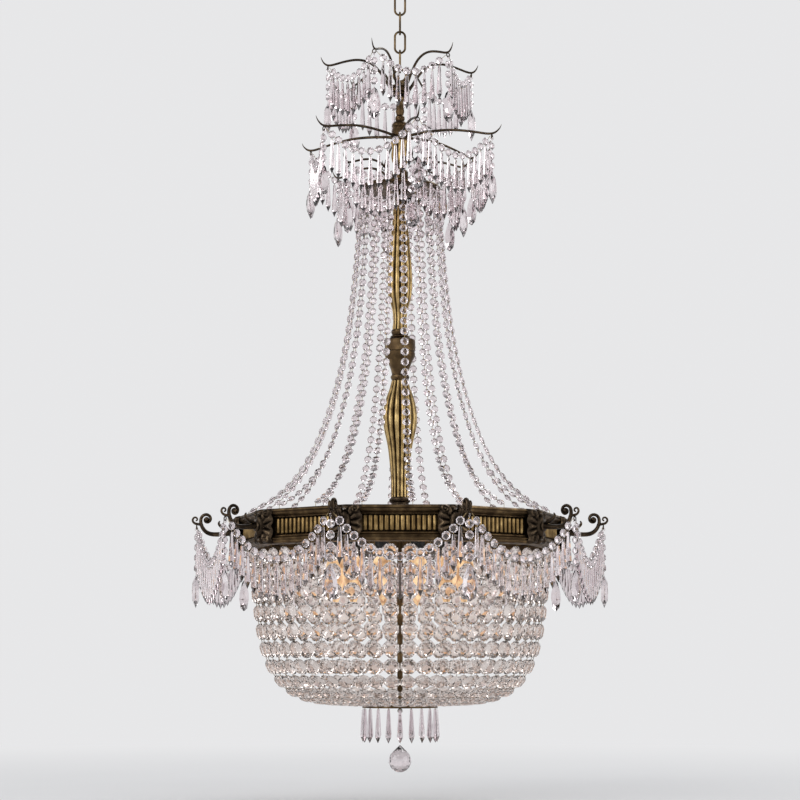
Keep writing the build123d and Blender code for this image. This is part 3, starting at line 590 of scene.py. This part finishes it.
COLLAR_R = 28.0
collar = [
    (0, 0.5), (0.02, 0.56), (0.05, 0.58), (0.08, 0.54), (0.11, 0.5), (0.13, 0.62), (0.15, 0.64),
    (0.17, 0.6), (0.19, 0.9), (0.205, 0.97), (0.23, 1.0), (0.3, 1.0), (0.42, 0.98), (0.43, 0.95),
    (0.445, 0.95), (0.455, 0.99), (0.52, 0.98), (0.55, 0.93), (0.6, 0.84), (0.67, 0.74),
    (0.76, 0.62), (0.84, 0.55), (0.89, 0.53), (0.9, 0.6), (0.93, 0.62), (0.96, 0.58), (1, 0.5),
]
turned("column_collar", COLLAR_R, collar, brown_brass, "turned_collar_cup")

BASE_R = 26.0
base = [
    (0, 0.62), (0.04, 0.72), (0.1, 0.76), (0.16, 0.72), (0.2, 0.62), (0.34, 0.6), (0.38, 0.7),
    (0.44, 0.72), (0.5, 0.68), (0.56, 0.7), (0.62, 0.85), (0.7, 0.92), (0.85, 0.97), (1, 1.0),
]
turned("column_base", BASE_R, base, dark_bronze, "turned_column_base")

# %% [markdown]
# Each tier's arms spring from a domed hub, a casting with a bead round its top and foot. A slim
# turned spacer keeps the top hub up, a sleeve stands over the upper vase, and a plate with a
# rounded rim carries the long strands. All of them are round, so the same lathe outline makes
# them.

# %% Hubs, spacer, sleeve and strand plate
CROWN_HUB_R = 19.0
MIDDLE_HUB_R = 15.6
SPACER_R = 9.0
SLEEVE_R = 13.0
PLATE_R = 75.0
hub = [
    (0, 0.62), (0.06, 0.82), (0.14, 0.95), (0.24, 0.97), (0.3, 0.88), (0.5, 0.98), (0.72, 1.0),
    (0.8, 0.86), (0.88, 0.95), (1, 0.8),
]
spacer = [
    (0, 0.75), (0.1, 1.0), (0.18, 0.95), (0.24, 0.66), (0.45, 0.78), (0.62, 0.9), (0.76, 0.68),
    (0.82, 0.95), (0.9, 1.0), (1, 0.8),
]
sleeve = [
    (0, 0.95), (0.1, 1.0), (0.2, 0.9), (0.3, 0.7), (0.6, 0.76), (0.75, 0.95), (0.88, 1.0), (1, 0.92),
]
plate = [
    (0, 0.16), (0.1, 0.2), (0.35, 0.2), (0.6, 0.19), (0.72, 0.22), (0.795, 0.3), (0.8, 0.94),
    (0.84, 0.98), (0.9, 1.0), (0.96, 0.98), (1, 0.93),
]
turned("crown_hub", CROWN_HUB_R, hub, brown_brass, "crown_hub_casting")
turned("middle_hub", MIDDLE_HUB_R, hub, brown_brass, "middle_hub_casting")
turned("crown_spacer", SPACER_R, spacer, brown_brass, "turned_crown_spacer", 32)
turned("column_sleeve", SLEEVE_R, sleeve, brown_brass, "turned_column_sleeve", 32)
turned("strand_plate", PLATE_R, plate, brown_brass, "strand_plate_with_rim", 64)

# %% [markdown]
# ## The band
# Ten sides of cast brass: an upper moulding, recessed panels with upright reeds, and a lower
# moulding. The mouldings are rings of ten points carried round a stepped outline, out and then
# back in to the hollow middle.

# %% Mouldings
SIDES = 10
CORNER = 1 / math.cos(math.pi / SIDES)
FLAT_R = 282.46
INNER_R = 260.46


def moulding(node, profile, name):
    """A ring with flat sides through (radius to the flat, depth below its top), in millimetres."""
    top = high(node) / MM
    rings = [(flat * CORNER, top - down) for flat, down in profile]
    radius, height = rings[0]
    piece = circle(SIDES, radius * MM, height * MM, math.pi / SIDES)
    select_all_of(piece)
    through_rings(rings)
    ops.mesh.select_all(action="DESELECT")
    ops.mesh.select_non_manifold()
    ops.mesh.bridge_edge_loops()
    face_outwards()
    return finish(smooth(piece, 28), name, "light", brown_brass, node)


upper_profile = [
    (INNER_R, 16), (273, 16), (276.5, 15.6), (277.4, 14.4), (276.8, 13.2), (278.2, 12.2),
    (280.6, 10.4), (281.9, 8.4), (282.3, 7.2), (280.8, 6.6), (280.9, 5.4), (FLAT_R, 4.6),
    (FLAT_R, 2.2), (281.4, 1.0), (279.6, 0.3), (277, 0), (INNER_R, 0),
]
lower_profile = [
    (INNER_R, 16), (277, 16), (280.2, 15.6), (282.0, 14.2), (FLAT_R, 12.4), (282.0, 10.6),
    (280.6, 9.6), (280.4, 8.4), (281.2, 7.6), (280.6, 6.0), (278.4, 4.2), (276.9, 2.8),
    (276.9, 1.4), (276, 0.4), (273, 0), (INNER_R, 0),
]
moulding("band_upper_rim", upper_profile, "upper_moulding")
moulding("band_lower_rim", lower_profile, "lower_moulding")

# %% [markdown]
# A reed is a round bar with domed ends, flattened against its panel. One is modelled, set
# beside its neighbours at an even pitch, and the finished side is repeated ten times. Behind
# the reeds stands a plate whose field is sunk a little, so that the panel has a frame.

# %% Reeds
PANEL_FLAT = 273.5
REED_PITCH = 9.0
REEDS = 14
REED_PROUD = 3.4
REED_HALF = 4.1
panel_top, panel_foot = high("band_panels") / MM, low("band_panels") / MM


def reed():
    """An upright reed on the axis, from the top of the panel to its foot."""
    ends = [(0.15, 0.8), (0.6, 1.1), (0.88, 2.0), (1.0, 3.6)]
    rings = [(REED_HALF * wide, panel_top - down) for wide, down in ends]
    rings += [(REED_HALF * wide, panel_foot + up) for wide, up in reversed(ends)]
    piece = drawn_out(rings, 12)
    select_all_of(piece)
    ops.transform.resize(value=(REED_PROUD / REED_HALF, 1, 1), center_override=(0, 0, 0))
    ops.object.mode_set(mode="OBJECT")
    return piece


places = [(k - (REEDS - 1) / 2) * REED_PITCH * MM for k in range(REEDS)]
side = repeated(reed(), [Matrix.Translation((PANEL_FLAT * MM, place, 0)) for place in places])
finish(smooth(around(side, SIDES), 50), "panel_reeds", "light", old_brass, "band_panels")

# %% Panel backings
PANEL_THICK = 4.0
FIELD_EDGE = 1.6
FIELD_SUNK = 1.2


def panel_backing():
    """The flat plate behind one side's reeds."""
    wide = 2 * PANEL_FLAT * math.tan(math.pi / SIDES) * MM
    tall = (panel_top - panel_foot) * MM
    centre = ((PANEL_FLAT - PANEL_THICK / 2) * MM, 0, (panel_top + panel_foot) / 2 * MM)
    ops.object.select_all(action="DESELECT")
    ops.mesh.primitive_cube_add(size=1, location=centre, scale=(PANEL_THICK * MM, wide, tall))
    piece = bpy.context.object
    ops.object.transform_apply(location=True, rotation=True, scale=True)
    select_only(piece, [v.index for v in piece.data.vertices if v.co.x > centre[0]])
    ops.mesh.inset(thickness=FIELD_EDGE * MM, depth=0)
    ops.transform.translate(value=(-FIELD_SUNK * MM, 0, 0))
    ops.object.mode_set(mode="OBJECT")
    return piece


finish(around(panel_backing(), SIDES), "panel_backings", "light", brown_brass, "band_panels")

# %% [markdown]
# ## Corner ornaments
# A cast ornament covers every corner of the band: an oval in the middle, leaves that fan out
# round it and a curl at each of its four shoulders. Its face is too free for extruding, so a
# flat grid is pushed out point by point, and Solidify then gives the sheet its wall.

# %% Oval, leaves and curls
OVAL = (0.36, 0.6)
CURL = (0.31, 0.25)
CURLS = [(side * 0.68, up * 0.74) for side in (-1, 1) for up in (-1, 1)]
LEAF_TURNS = 6


def rising(inside, slope):
    """Climbs from a tenth at an edge to the full height further in."""
    return min(1.0, inside * slope + 0.1)


def boss_height(u, v):
    """How far the ornament stands out at (u, v), and how bright it is rubbed there."""
    up = 2 * v - 1
    oval = math.hypot(u / OVAL[0], up / OVAL[1])
    if oval < 1:
        return 0.55 + 0.45 * (1 - oval * oval) ** 0.5, 0.5 - oval
    for middle, level in CURLS:
        away = math.hypot((u - middle) / CURL[0], (up - level) / CURL[1])
        if away < 1:
            curl = math.atan2(up - level, (u - middle) * (1 if middle > 0 else -1))
            coil = 0.5 + 0.5 * math.cos(2 * math.pi * away * 1.5 - curl)
            return 0.35 + 0.6 * (1 - away * away) ** 0.5 * (0.45 + 0.55 * coil), coil * 1.6 - 0.9
    lobe = abs(math.cos(math.atan2(up, u) * LEAF_TURNS)) ** 0.7
    edge = rising(oval - 1, 6) * rising(1 - abs(u), 7) * rising(1 - abs(up), 7)
    return edge * (0.12 + 0.5 * lobe), lobe * 1.4 - 1


# %% Corner shells
BOSS_HALF = 27.0
BOSS_EDGE = 0.6
CORNER_R = 297.3
RISE = 8.6
FOLD = math.tan(math.pi / SIDES)
SHELL_WALL = 1.6


def corner_shell():
    """One ornament, folded over a corner of the band and drawn along +X."""
    top, foot = high("corner_bosses") / MM, low("corner_bosses") / MM
    ops.object.select_all(action="DESELECT")
    ops.mesh.primitive_grid_add(x_subdivisions=40, y_subdivisions=52, size=2, location=(0, 0, 0))
    piece = bpy.context.object
    shine = []
    for vertex in piece.data.vertices:
        u, v = vertex.co.x, (vertex.co.y + 1) / 2
        out, bright = boss_height(u, v)
        waist = 0.86 + 0.14 * abs(math.cos(3 * math.pi * v))
        y = u * BOSS_HALF * waist
        z = foot + BOSS_EDGE + (top - foot - 2 * BOSS_EDGE) * v
        vertex.co = ((CORNER_R - abs(y) * FOLD + RISE * out) * MM, y * MM, z * MM)
        shine.append(bright)
    note_relief(piece, shine)
    wall = piece.modifiers.new("wall", "SOLIDIFY")
    wall.thickness = SHELL_WALL * MM
    wall.offset = -1.0
    ops.object.modifier_apply(modifier=wall.name)
    return piece


shells = around(corner_shell(), SIDES, 180 / SIDES)
finish(smooth(shells, 45), "corner_shells", "light", dark_bronze, "corner_bosses")

# %% [markdown]
# ## Scroll arms and fronds
# The arms are drawn bars. A scroll arm leaves its corner low, swings out and up, and curls back
# in to a button, and a second, thinner curl carries the hook. Half thicknesses change along
# the line, so that each bar tapers as the forged ones do.

# %% Spiral, button and foot pad
ARM_ROOT = 303.0
ARM_TIP = 378.0
arm_low = low("band_lower_rim") / MM + 29.0
SCROLL_R, SCROLL_Z = ARM_TIP - 28, arm_low + 27
BUTTON_R = 4.6


def coil(centre_out, centre_up, start_r, turns, start_angle, thick, steps=12):
    """Points of a spiral that closes in on its centre."""
    points = []
    for k in range(steps + 1):
        share = k / steps
        radius = start_r * (1 - 0.72 * share)
        angle = math.radians(start_angle) + 2 * math.pi * turns * share
        out, up = centre_out + radius * math.cos(angle), centre_up + radius * math.sin(angle)
        points.append((out, up, thick * (1 - 0.35 * share)))
    return points


def scroll_button():
    """The round button in the eye of the scroll, a little thicker across the bar."""
    centre = (SCROLL_R * MM, 0, SCROLL_Z * MM)
    ops.object.select_all(action="DESELECT")
    ops.mesh.primitive_uv_sphere_add(segments=16, ring_count=10, radius=BUTTON_R * MM, location=centre)
    button = bpy.context.object
    ops.object.mode_set(mode="EDIT")
    ops.transform.resize(value=(1, 1.25, 1), center_override=centre)
    ops.object.mode_set(mode="OBJECT")
    return button


def foot_pad():
    """The turned pad that lies against the ornament, where the arm springs from it."""
    pad = drawn_out([(6.5, 0), (8.5, 1.2), (9.0, 2.6), (8.0, 3.6), (6.0, 4.6)], 20)
    place = Matrix.Translation(((ARM_ROOT + 1) * MM, 0, (arm_low + 2) * MM))
    pad.data.transform(place @ Matrix.Rotation(math.pi / 2, 4, "Y"))
    return pad


# %% Ten scroll arms
def scroll_arm():
    """One arm, drawn along +X: the main scroll, the outer curl, a leaf, button, hook and pad."""
    stem = [
        (ARM_ROOT, arm_low + 3, 5.0), (ARM_ROOT + 10, arm_low + 1, 4.6),
        (ARM_ROOT + 26, arm_low - 0.5, 4.2), (ARM_TIP - 34, arm_low, 3.9),
        (ARM_TIP - 24, arm_low + 6, 3.6), (ARM_TIP - 17.5, arm_low + 17, 3.3),
    ]
    outer = [
        (ARM_TIP - 21, arm_low + 16, 2.6), (ARM_TIP - 15, arm_low + 18.6, 2.5),
        (ARM_TIP - 8, arm_low + 18.2, 2.3),
    ]
    leaf_line = [
        (ARM_ROOT + 4, arm_low + 6, 2.0), (ARM_ROOT + 12, arm_low + 10, 4.0),
        (ARM_ROOT + 22, arm_low + 14, 3.2), (ARM_ROOT + 27, arm_low + 20, 2.0),
        (ARM_ROOT + 23, arm_low + 24, 1.2),
    ]
    main = bar(stem + coil(SCROLL_R, SCROLL_Z, 11.0, 1.1, 0, 3.0), 1.15)
    curl = bar(outer + coil(ARM_TIP - 8, arm_low + 26.5, 6.2, 0.85, -40, 2.0, 10), 1.1)
    leaf = bar(leaf_line, 1.2)
    hook = wire_ring(ARM_TIP - 10, arm_low + 12.5)
    return joined(main, curl, leaf, scroll_button(), hook, foot_pad())


arms = around(scroll_arm(), SIDES, 180 / SIDES)
finish(smooth(arms, 50), "scroll_arms_forged", "light", dark_bronze, "scroll_arms")

# %% [markdown]
# Each frond springs up from its hub, arches over and ends in a thin tip like a beak, with the
# hook on its lowest point. All three tiers follow the same line of shares, stretched to their
# own reach and rise.

# %% Three tiers of fronds
FRONDS = 6
HOOK_DROP = 17.9


def frond(root_r, root_z, tip_r, tip_z, thick):
    """One frond with its hook, drawn along +X."""
    span = tip_r - root_r
    rise = tip_z + 3 - root_z
    line = [
        (root_r - 4, root_z - 3, thick * 1.25), (root_r + 2, root_z + 0.1 * rise, thick * 1.15),
        (root_r + 0.1 * span, root_z + 0.45 * rise, thick),
        (root_r + 0.24 * span, root_z + 0.87 * rise, thick),
        (root_r + 0.46 * span, root_z + 1.02 * rise, thick * 0.95),
        (root_r + 0.72 * span, tip_z - 6, thick * 0.85),
        (root_r + 0.84 * span, tip_z - 12.2, thick * 0.85),
        (root_r + 0.92 * span, tip_z - 13.2, thick * 0.8),
        (root_r + 0.97 * span, tip_z - 7, thick * 0.55), (tip_r - 1, tip_z - 1, thick * 0.3),
        (tip_r, tip_z + 3, thick * 0.12),
    ]
    hook_r = root_r + 0.9 * span
    return joined(bar(line, 0.85, 8), wire_ring(hook_r, tip_z - HOOK_DROP))


def top_of(node, offset):
    """A height in millimetres, measured from a node's top."""
    return high(node) / MM + offset


# Each row: node, root radius and height, tip radius and height, first azimuth, half thickness.
tiers = (
    ("crown_fronds", 18.0, top_of("crown_spacer", 9), 149.0, top_of("crown_hub", 44), -20, 2.5),
    ("middle_fronds", 14.5, top_of("leaf_cup", 9), 197.0, top_of("middle_hub", -26), 10, 2.6),
    ("lower_fronds", 14.5, top_of("strand_plate", -22), 135.0, top_of("strand_plate", 8), 10, 2.3),
)
for node, root_r, root_z, tip_r, tip_z, first, thick in tiers:
    piece = around(frond(root_r, root_z, tip_r, tip_z, thick), FRONDS, first)
    finish(smooth(piece, 60), node + "_drawn", "light", dark_bronze, node)

# %% [markdown]
# ## Bulbs
# The bulbs stand tip down inside the basket, where only their glow is seen. Each is a flame
# shape drawn out ring by ring, with its round base up in the holder.

# %% Candle bulbs
LAMPS = 12
LAMP_RING_R = 120.0
bulb_top, bulb_foot = high("bulbs") / MM, low("bulbs") / MM
flame = [
    (8.0, 93), (9.6, 90), (14.2, 78), (16.6, 66), (16.9, 56), (15.2, 42), (11.6, 28), (7.4, 15),
    (3.9, 6), (1.5, 0),
]
bulb = drawn_out([(8.0, bulb_top)] + [(radius, bulb_foot + up) for radius, up in flame], 20)
bulb.data.transform(Matrix.Translation((LAMP_RING_R * MM, 0, 0)))
bulbs = around(bulb, LAMPS, 180 / LAMPS)
finish(smooth(bulbs, 50), "candle_bulbs", "light", bulb_glass, "bulbs")

# %% [markdown]
# ## Star-cut beads
# The frame's octagon beads are plain. A real one is cut on both faces with a small flat table,
# rows of three-sided facets round it and a thin girdle, and those facets make the sparkle.
# Each bead of the frame is found first: its middle, the way its flat face looks, one of its
# corners, and its size. Then one bead is cut, and a copy is set at each of those places.

# %% Find the beads of a frame node
def bead_numbers(mesh, places):
    """A number for every vertex, the same one all over a bead and another on the next bead."""
    ends = np.empty(len(mesh.edges) * 2, int)
    mesh.edges.foreach_get("vertices", ends)
    first, second = ends.reshape(-1, 2).T
    _, number = np.unique(np.round(places, 6), axis=0, return_inverse=True)
    number = number.ravel()
    while True:
        lowest = number.copy()
        shared = np.minimum(number[first], number[second])
        np.minimum.at(lowest, first, shared)
        np.minimum.at(lowest, second, shared)
        smallest = np.full(number.max() + 1, number.max() + 1)
        np.minimum.at(smallest, number, lowest)
        lowest = smallest[number]
        if np.array_equal(lowest, number):
            return number
        number = lowest


def bead_place(corners):
    """Middle, thickness axis, corner direction and corner radius of one bead."""
    middle = corners.mean(axis=0)
    reach = corners - middle
    _, ways = np.linalg.eigh(np.cov(reach.T))
    flat = ways[:, 0]
    furthest = reach[np.linalg.norm(reach, axis=1).argmax()]
    corner = furthest - flat * (furthest @ flat)
    radius = np.linalg.norm(corner)
    return middle, flat, corner / radius, radius


def bead_places(node):
    """The place of every bead of a frame node."""
    mesh = nodes[node].data
    places = vertex_places(mesh)
    number = bead_numbers(mesh, places)
    beads = [np.unique(np.round(places[number == one], 6), axis=0) for one in np.unique(number)]
    return [bead_place(corners) for corners in beads]


# %% Cut one bead
BEAD_SIDES = 8
BEAD_THICK = 0.92
GIRDLE = 0.08
FACET_RISE = (BEAD_THICK - GIRDLE) / 4
FACET_WIDTHS = (0.8, 0.6)
HALF_STEP = math.pi / BEAD_SIDES


def bead_face(side):
    """The cut face above (1) or below (-1) the girdle: two rows of facets and a flat table."""
    face = circle(BEAD_SIDES, 1.0, side * GIRDLE / 2)
    select_all_of(face)
    for width in FACET_WIDTHS:
        ops.mesh.extrude_region_move(TRANSFORM_OT_translate={"value": (0, 0, side * FACET_RISE)})
        ops.transform.resize(value=(width, width, 1), center_override=(0, 0, 0))
        ops.transform.rotate(value=HALF_STEP, orient_axis="Z", center_override=(0, 0, 0))
    ops.mesh.edge_face_add()
    ops.mesh.select_all(action="SELECT")
    ops.mesh.quads_convert_to_tris()
    ops.object.mode_set(mode="OBJECT")
    return face


def cut_bead():
    """A bead of corner radius 1, flat in XY, with both faces cut alike."""
    girdle = circle(BEAD_SIDES, 1.0, -GIRDLE / 2)
    select_all_of(girdle)
    ops.mesh.extrude_region_move(TRANSFORM_OT_translate={"value": (0, 0, GIRDLE)})
    ops.object.mode_set(mode="OBJECT")
    bead = joined(girdle, bead_face(-1), bead_face(1))
    select_all_of(bead)
    ops.mesh.remove_doubles(threshold=0.001)
    face_outwards()
    print("one bead has", len(bead.data.polygons), "facets")
    return bead


# %% Set a cut bead at every bead of a node
def recut(node, name, bead, material):
    """Copies of the cut bead in place of the plain ones."""
    shape = np.array([vertex.co for vertex in bead.data.vertices])
    facets = [tuple(facet.vertices) for facet in bead.data.polygons]
    points, faces = [], []
    for k, (middle, flat, corner, radius) in enumerate(bead_places(node)):
        across = np.cross(flat, corner)
        turned_shape = shape[:, :1] * corner + shape[:, 1:2] * across + shape[:, 2:] * flat
        points.append(middle + radius * turned_shape)
        faces += [tuple(v + k * len(shape) for v in facet) for facet in facets]
    mesh = bpy.data.meshes.new(name)
    mesh.from_pydata(np.concatenate(points), [], faces)
    piece = bpy.data.objects.new(name, mesh)
    bpy.context.scene.collection.objects.link(piece)
    print(name, "has", len(points), "beads")
    return finish(piece, name, "light", material, node)


star_bead = cut_bead()
for node in ("strand_beads", "arm_beads", "crown_beads"):
    recut(node, "star_cut_" + node, star_bead, crystal)
# The basket's beads get the warmer tint of painted bulb light.
recut("basket_beads", "star_cut_basket_beads", star_bead, warm_crystal)
bpy.data.objects.remove(star_bead)

# %% [markdown]
# The ball under the middle is cut in rows of triangles, each row turned half a step against
# the one below it, up to the point that its hook goes through.

# %% Cut ball
BALL_R = 20.5
BALL_POINT = 27.0
BALL_SIDES = 12
BALL_ROWS = (-74, -54, -33, -11, 11, 33, 50)


def cut_ball():
    """The faceted ball, from its small flat foot to the point under its hook."""
    middle = low("ball") / MM + BALL_R
    slopes = [math.radians(angle) for angle in BALL_ROWS]
    rings = [(BALL_R * math.cos(slope), middle + BALL_R * math.sin(slope)) for slope in slopes]
    rings = [(1.5, middle - BALL_R)] + rings + [(1.0, middle + BALL_POINT)]
    radius, height = rings[0]
    ball = circle(BALL_SIDES, radius * MM, height * MM)
    select_all_of(ball)
    ops.mesh.edge_face_add()
    through_rings(rings, math.pi / BALL_SIDES)
    ops.mesh.select_all(action="SELECT")
    ops.mesh.quads_convert_to_tris()
    face_outwards()
    return ball


finish(cut_ball(), "cut_ball", "ball", crystal, "ball")

# %% [markdown]
# ## Floor, light and camera
# The studio is plain: a pale floor, a pale backdrop, large soft lamps, and the camera where the
# photograph was taken from. Far from the light, and only where the camera or a crystal looks at
# it, the floor fades into the tone of the backdrop, so there is no hard horizon. Close by it is
# plain painted floor, and it keeps the shadow.

# %% Floor
FLOOR_Z = low("ball") - 0.05
STAGE_R = 9.0
PALE = (0.8, 0.8, 0.81)
FADE_START, FADE_END = 0.8, 3.2


def looked_at(tree):
    """1 where the camera looks, straight or through glass or in a mirror, and 0 for light."""
    path = add(tree, "LightPath")
    seen = arithmetic(tree, "MAXIMUM", path.outputs["Is Camera Ray"], path.outputs["Is Glossy Ray"])
    return arithmetic(tree, "MAXIMUM", seen, path.outputs["Is Transmission Ray"])


def mixed(tree, share, first, second):
    """The first shader fading into the second one."""
    made = add(tree, "MixShader")
    tree.links.new(share, made.inputs["Fac"])
    tree.links.new(first, made.inputs[1])
    tree.links.new(second, made.inputs[2])
    return made.outputs["Shader"]


def studio_floor():
    """Painted floor that fades into the backdrop's tone far away."""
    material, tree = new_material("pale_floor")
    where = coordinates(tree)
    paint = ramp(tree, noise(tree, where, 3.0), [(0.3, (0.77,) * 3), (0.7, (0.79,) * 3)])
    body = add(tree, "BsdfPrincipled")
    body.inputs["Roughness"].default_value = 0.9
    body.inputs["Specular IOR Level"].default_value = 0.1
    tree.links.new(paint, body.inputs["Base Color"])
    distance = add(tree, "VectorMath", operation="LENGTH")
    tree.links.new(where, distance.inputs[0])
    far = between(tree, distance.outputs["Value"], FADE_START, FADE_END, 0.0, 1.0, True)
    fade = arithmetic(tree, "MULTIPLY", far, looked_at(tree))
    glow = add(tree, "Emission")
    glow.inputs["Color"].default_value = (*PALE, 1)
    glow.inputs["Strength"].default_value = 1.0
    shown(tree, mixed(tree, fade, body.outputs["BSDF"], glow.outputs["Emission"]))
    return material


ops.object.select_all(action="DESELECT")
ops.mesh.primitive_circle_add(vertices=96, radius=STAGE_R, fill_type="NGON", location=(0, 0, FLOOR_Z))
floor = bpy.context.object
ops.object.transform_apply(location=True)
floor.name = "floor"
floor.data.materials.append(studio_floor())
floor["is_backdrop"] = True
print("floor at", round(FLOOR_Z, 3))

# %% [markdown]
# The backdrop is the world's light. It is dim where it lights the pieces, and pale where the
# camera sees it. The crystals see it pale at their own level and darker above and below, so
# that some facets turn dark and their edges stand out.

# %% Backdrop
CEILING_LEVEL = 0.3
world = bpy.data.worlds.new("studio")
bpy.context.scene.world = world
world.use_nodes = True
sky = world.node_tree
sky.nodes.clear()
dim = add(sky, "Background")
dim.inputs["Color"].default_value = (0.8, 0.82, 0.86, 1)
dim.inputs["Strength"].default_value = 0.55
pale = add(sky, "Background")
pale.inputs["Color"].default_value = (*PALE, 1)
direction = add(sky, "SeparateXYZ")
sky.links.new(add(sky, "TexCoord").outputs["Generated"], direction.inputs[0])
slope = arithmetic(sky, "ABSOLUTE", direction.outputs["Z"], 0)
level = between(sky, slope, 0.3, 0.75, 1.0, CEILING_LEVEL)
straight = add(sky, "LightPath").outputs["Is Camera Ray"]
sky.links.new(arithmetic(sky, "MAXIMUM", straight, level), pale.inputs["Strength"])
backdrop = mixed(sky, looked_at(sky), dim.outputs["Background"], pale.outputs["Background"])
sky.links.new(backdrop, add(sky, "OutputWorld").inputs["Surface"])
print("backdrop has", len(sky.nodes), "nodes")

# %% [markdown]
# Three large lamps give soft edges: a strong one from the left, a weaker one from the right that
# opens the shadows, and one from behind and above that lights the crystals from the far side.

# %% Lamps
LIGHT_MIDDLE = Vector((0, 0, -0.9))


def lamp(name, place, size, power):
    """A large soft lamp at place, aimed at the middle of the light."""
    ops.object.select_all(action="DESELECT")
    ops.object.light_add(type="AREA", location=place)
    made = bpy.context.object
    made.name = name
    made.data.shape = "RECTANGLE"
    made.data.size, made.data.size_y = size
    made.data.energy = power
    aim = LIGHT_MIDDLE - Vector(place)
    made.rotation_euler = aim.to_track_quat("-Z", "Y").to_euler()
    print("lamp", name, "at", place, power, "W")


lamp("key", (-2.6, -2.6, 0.6), (3.0, 3.2), 78)
lamp("fill", (3.0, -1.8, -0.3), (2.2, 2.8), 32)
lamp("back", (1.6, 2.4, 2.4), (2.4, 2.0), 60)

# %% [markdown]
# The camera stands well back, so that the near and far sides of the band look almost the same
# size. It is below the middle of the light and tilted up, and its lens comes from the width of
# the picture in pixels.

# %% Camera
CAMERA_DISTANCE = 3.6
CAMERA_Z = -1.346
TILT_UP = 7.67
FOCAL_PIXELS = 1990
PHOTO_WIDTH = 800
camera_data = bpy.data.cameras.new("camera")
camera_data.sensor_width = 36
camera_data.lens = FOCAL_PIXELS / PHOTO_WIDTH * camera_data.sensor_width
camera_data.clip_end = 50
camera = bpy.data.objects.new("camera", camera_data)
bpy.context.scene.collection.objects.link(camera)
camera.location = (0, -CAMERA_DISTANCE, CAMERA_Z)
camera.rotation_euler = (math.radians(90 + TILT_UP), 0, 0)
bpy.context.scene.camera = camera
bpy.context.scene.view_settings.view_transform = "Standard"
print("camera lens", round(camera_data.lens, 1), "mm,", CAMERA_DISTANCE, "m in front")

# %% [markdown]
# ## Measure and finish
# The box of the finished light is measured and printed beside the box of the frame, to show
# whether the finer pieces have stayed inside it.

# %% Measure and finish
new_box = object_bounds()
for side, (was, now) in enumerate(zip(cad_box, new_box)):
    was, now = [round(v, 4) for v in was], [round(v, 4) for v in now]
    print(("lowest", "highest")[side], "corner: frame", was, "model", now)
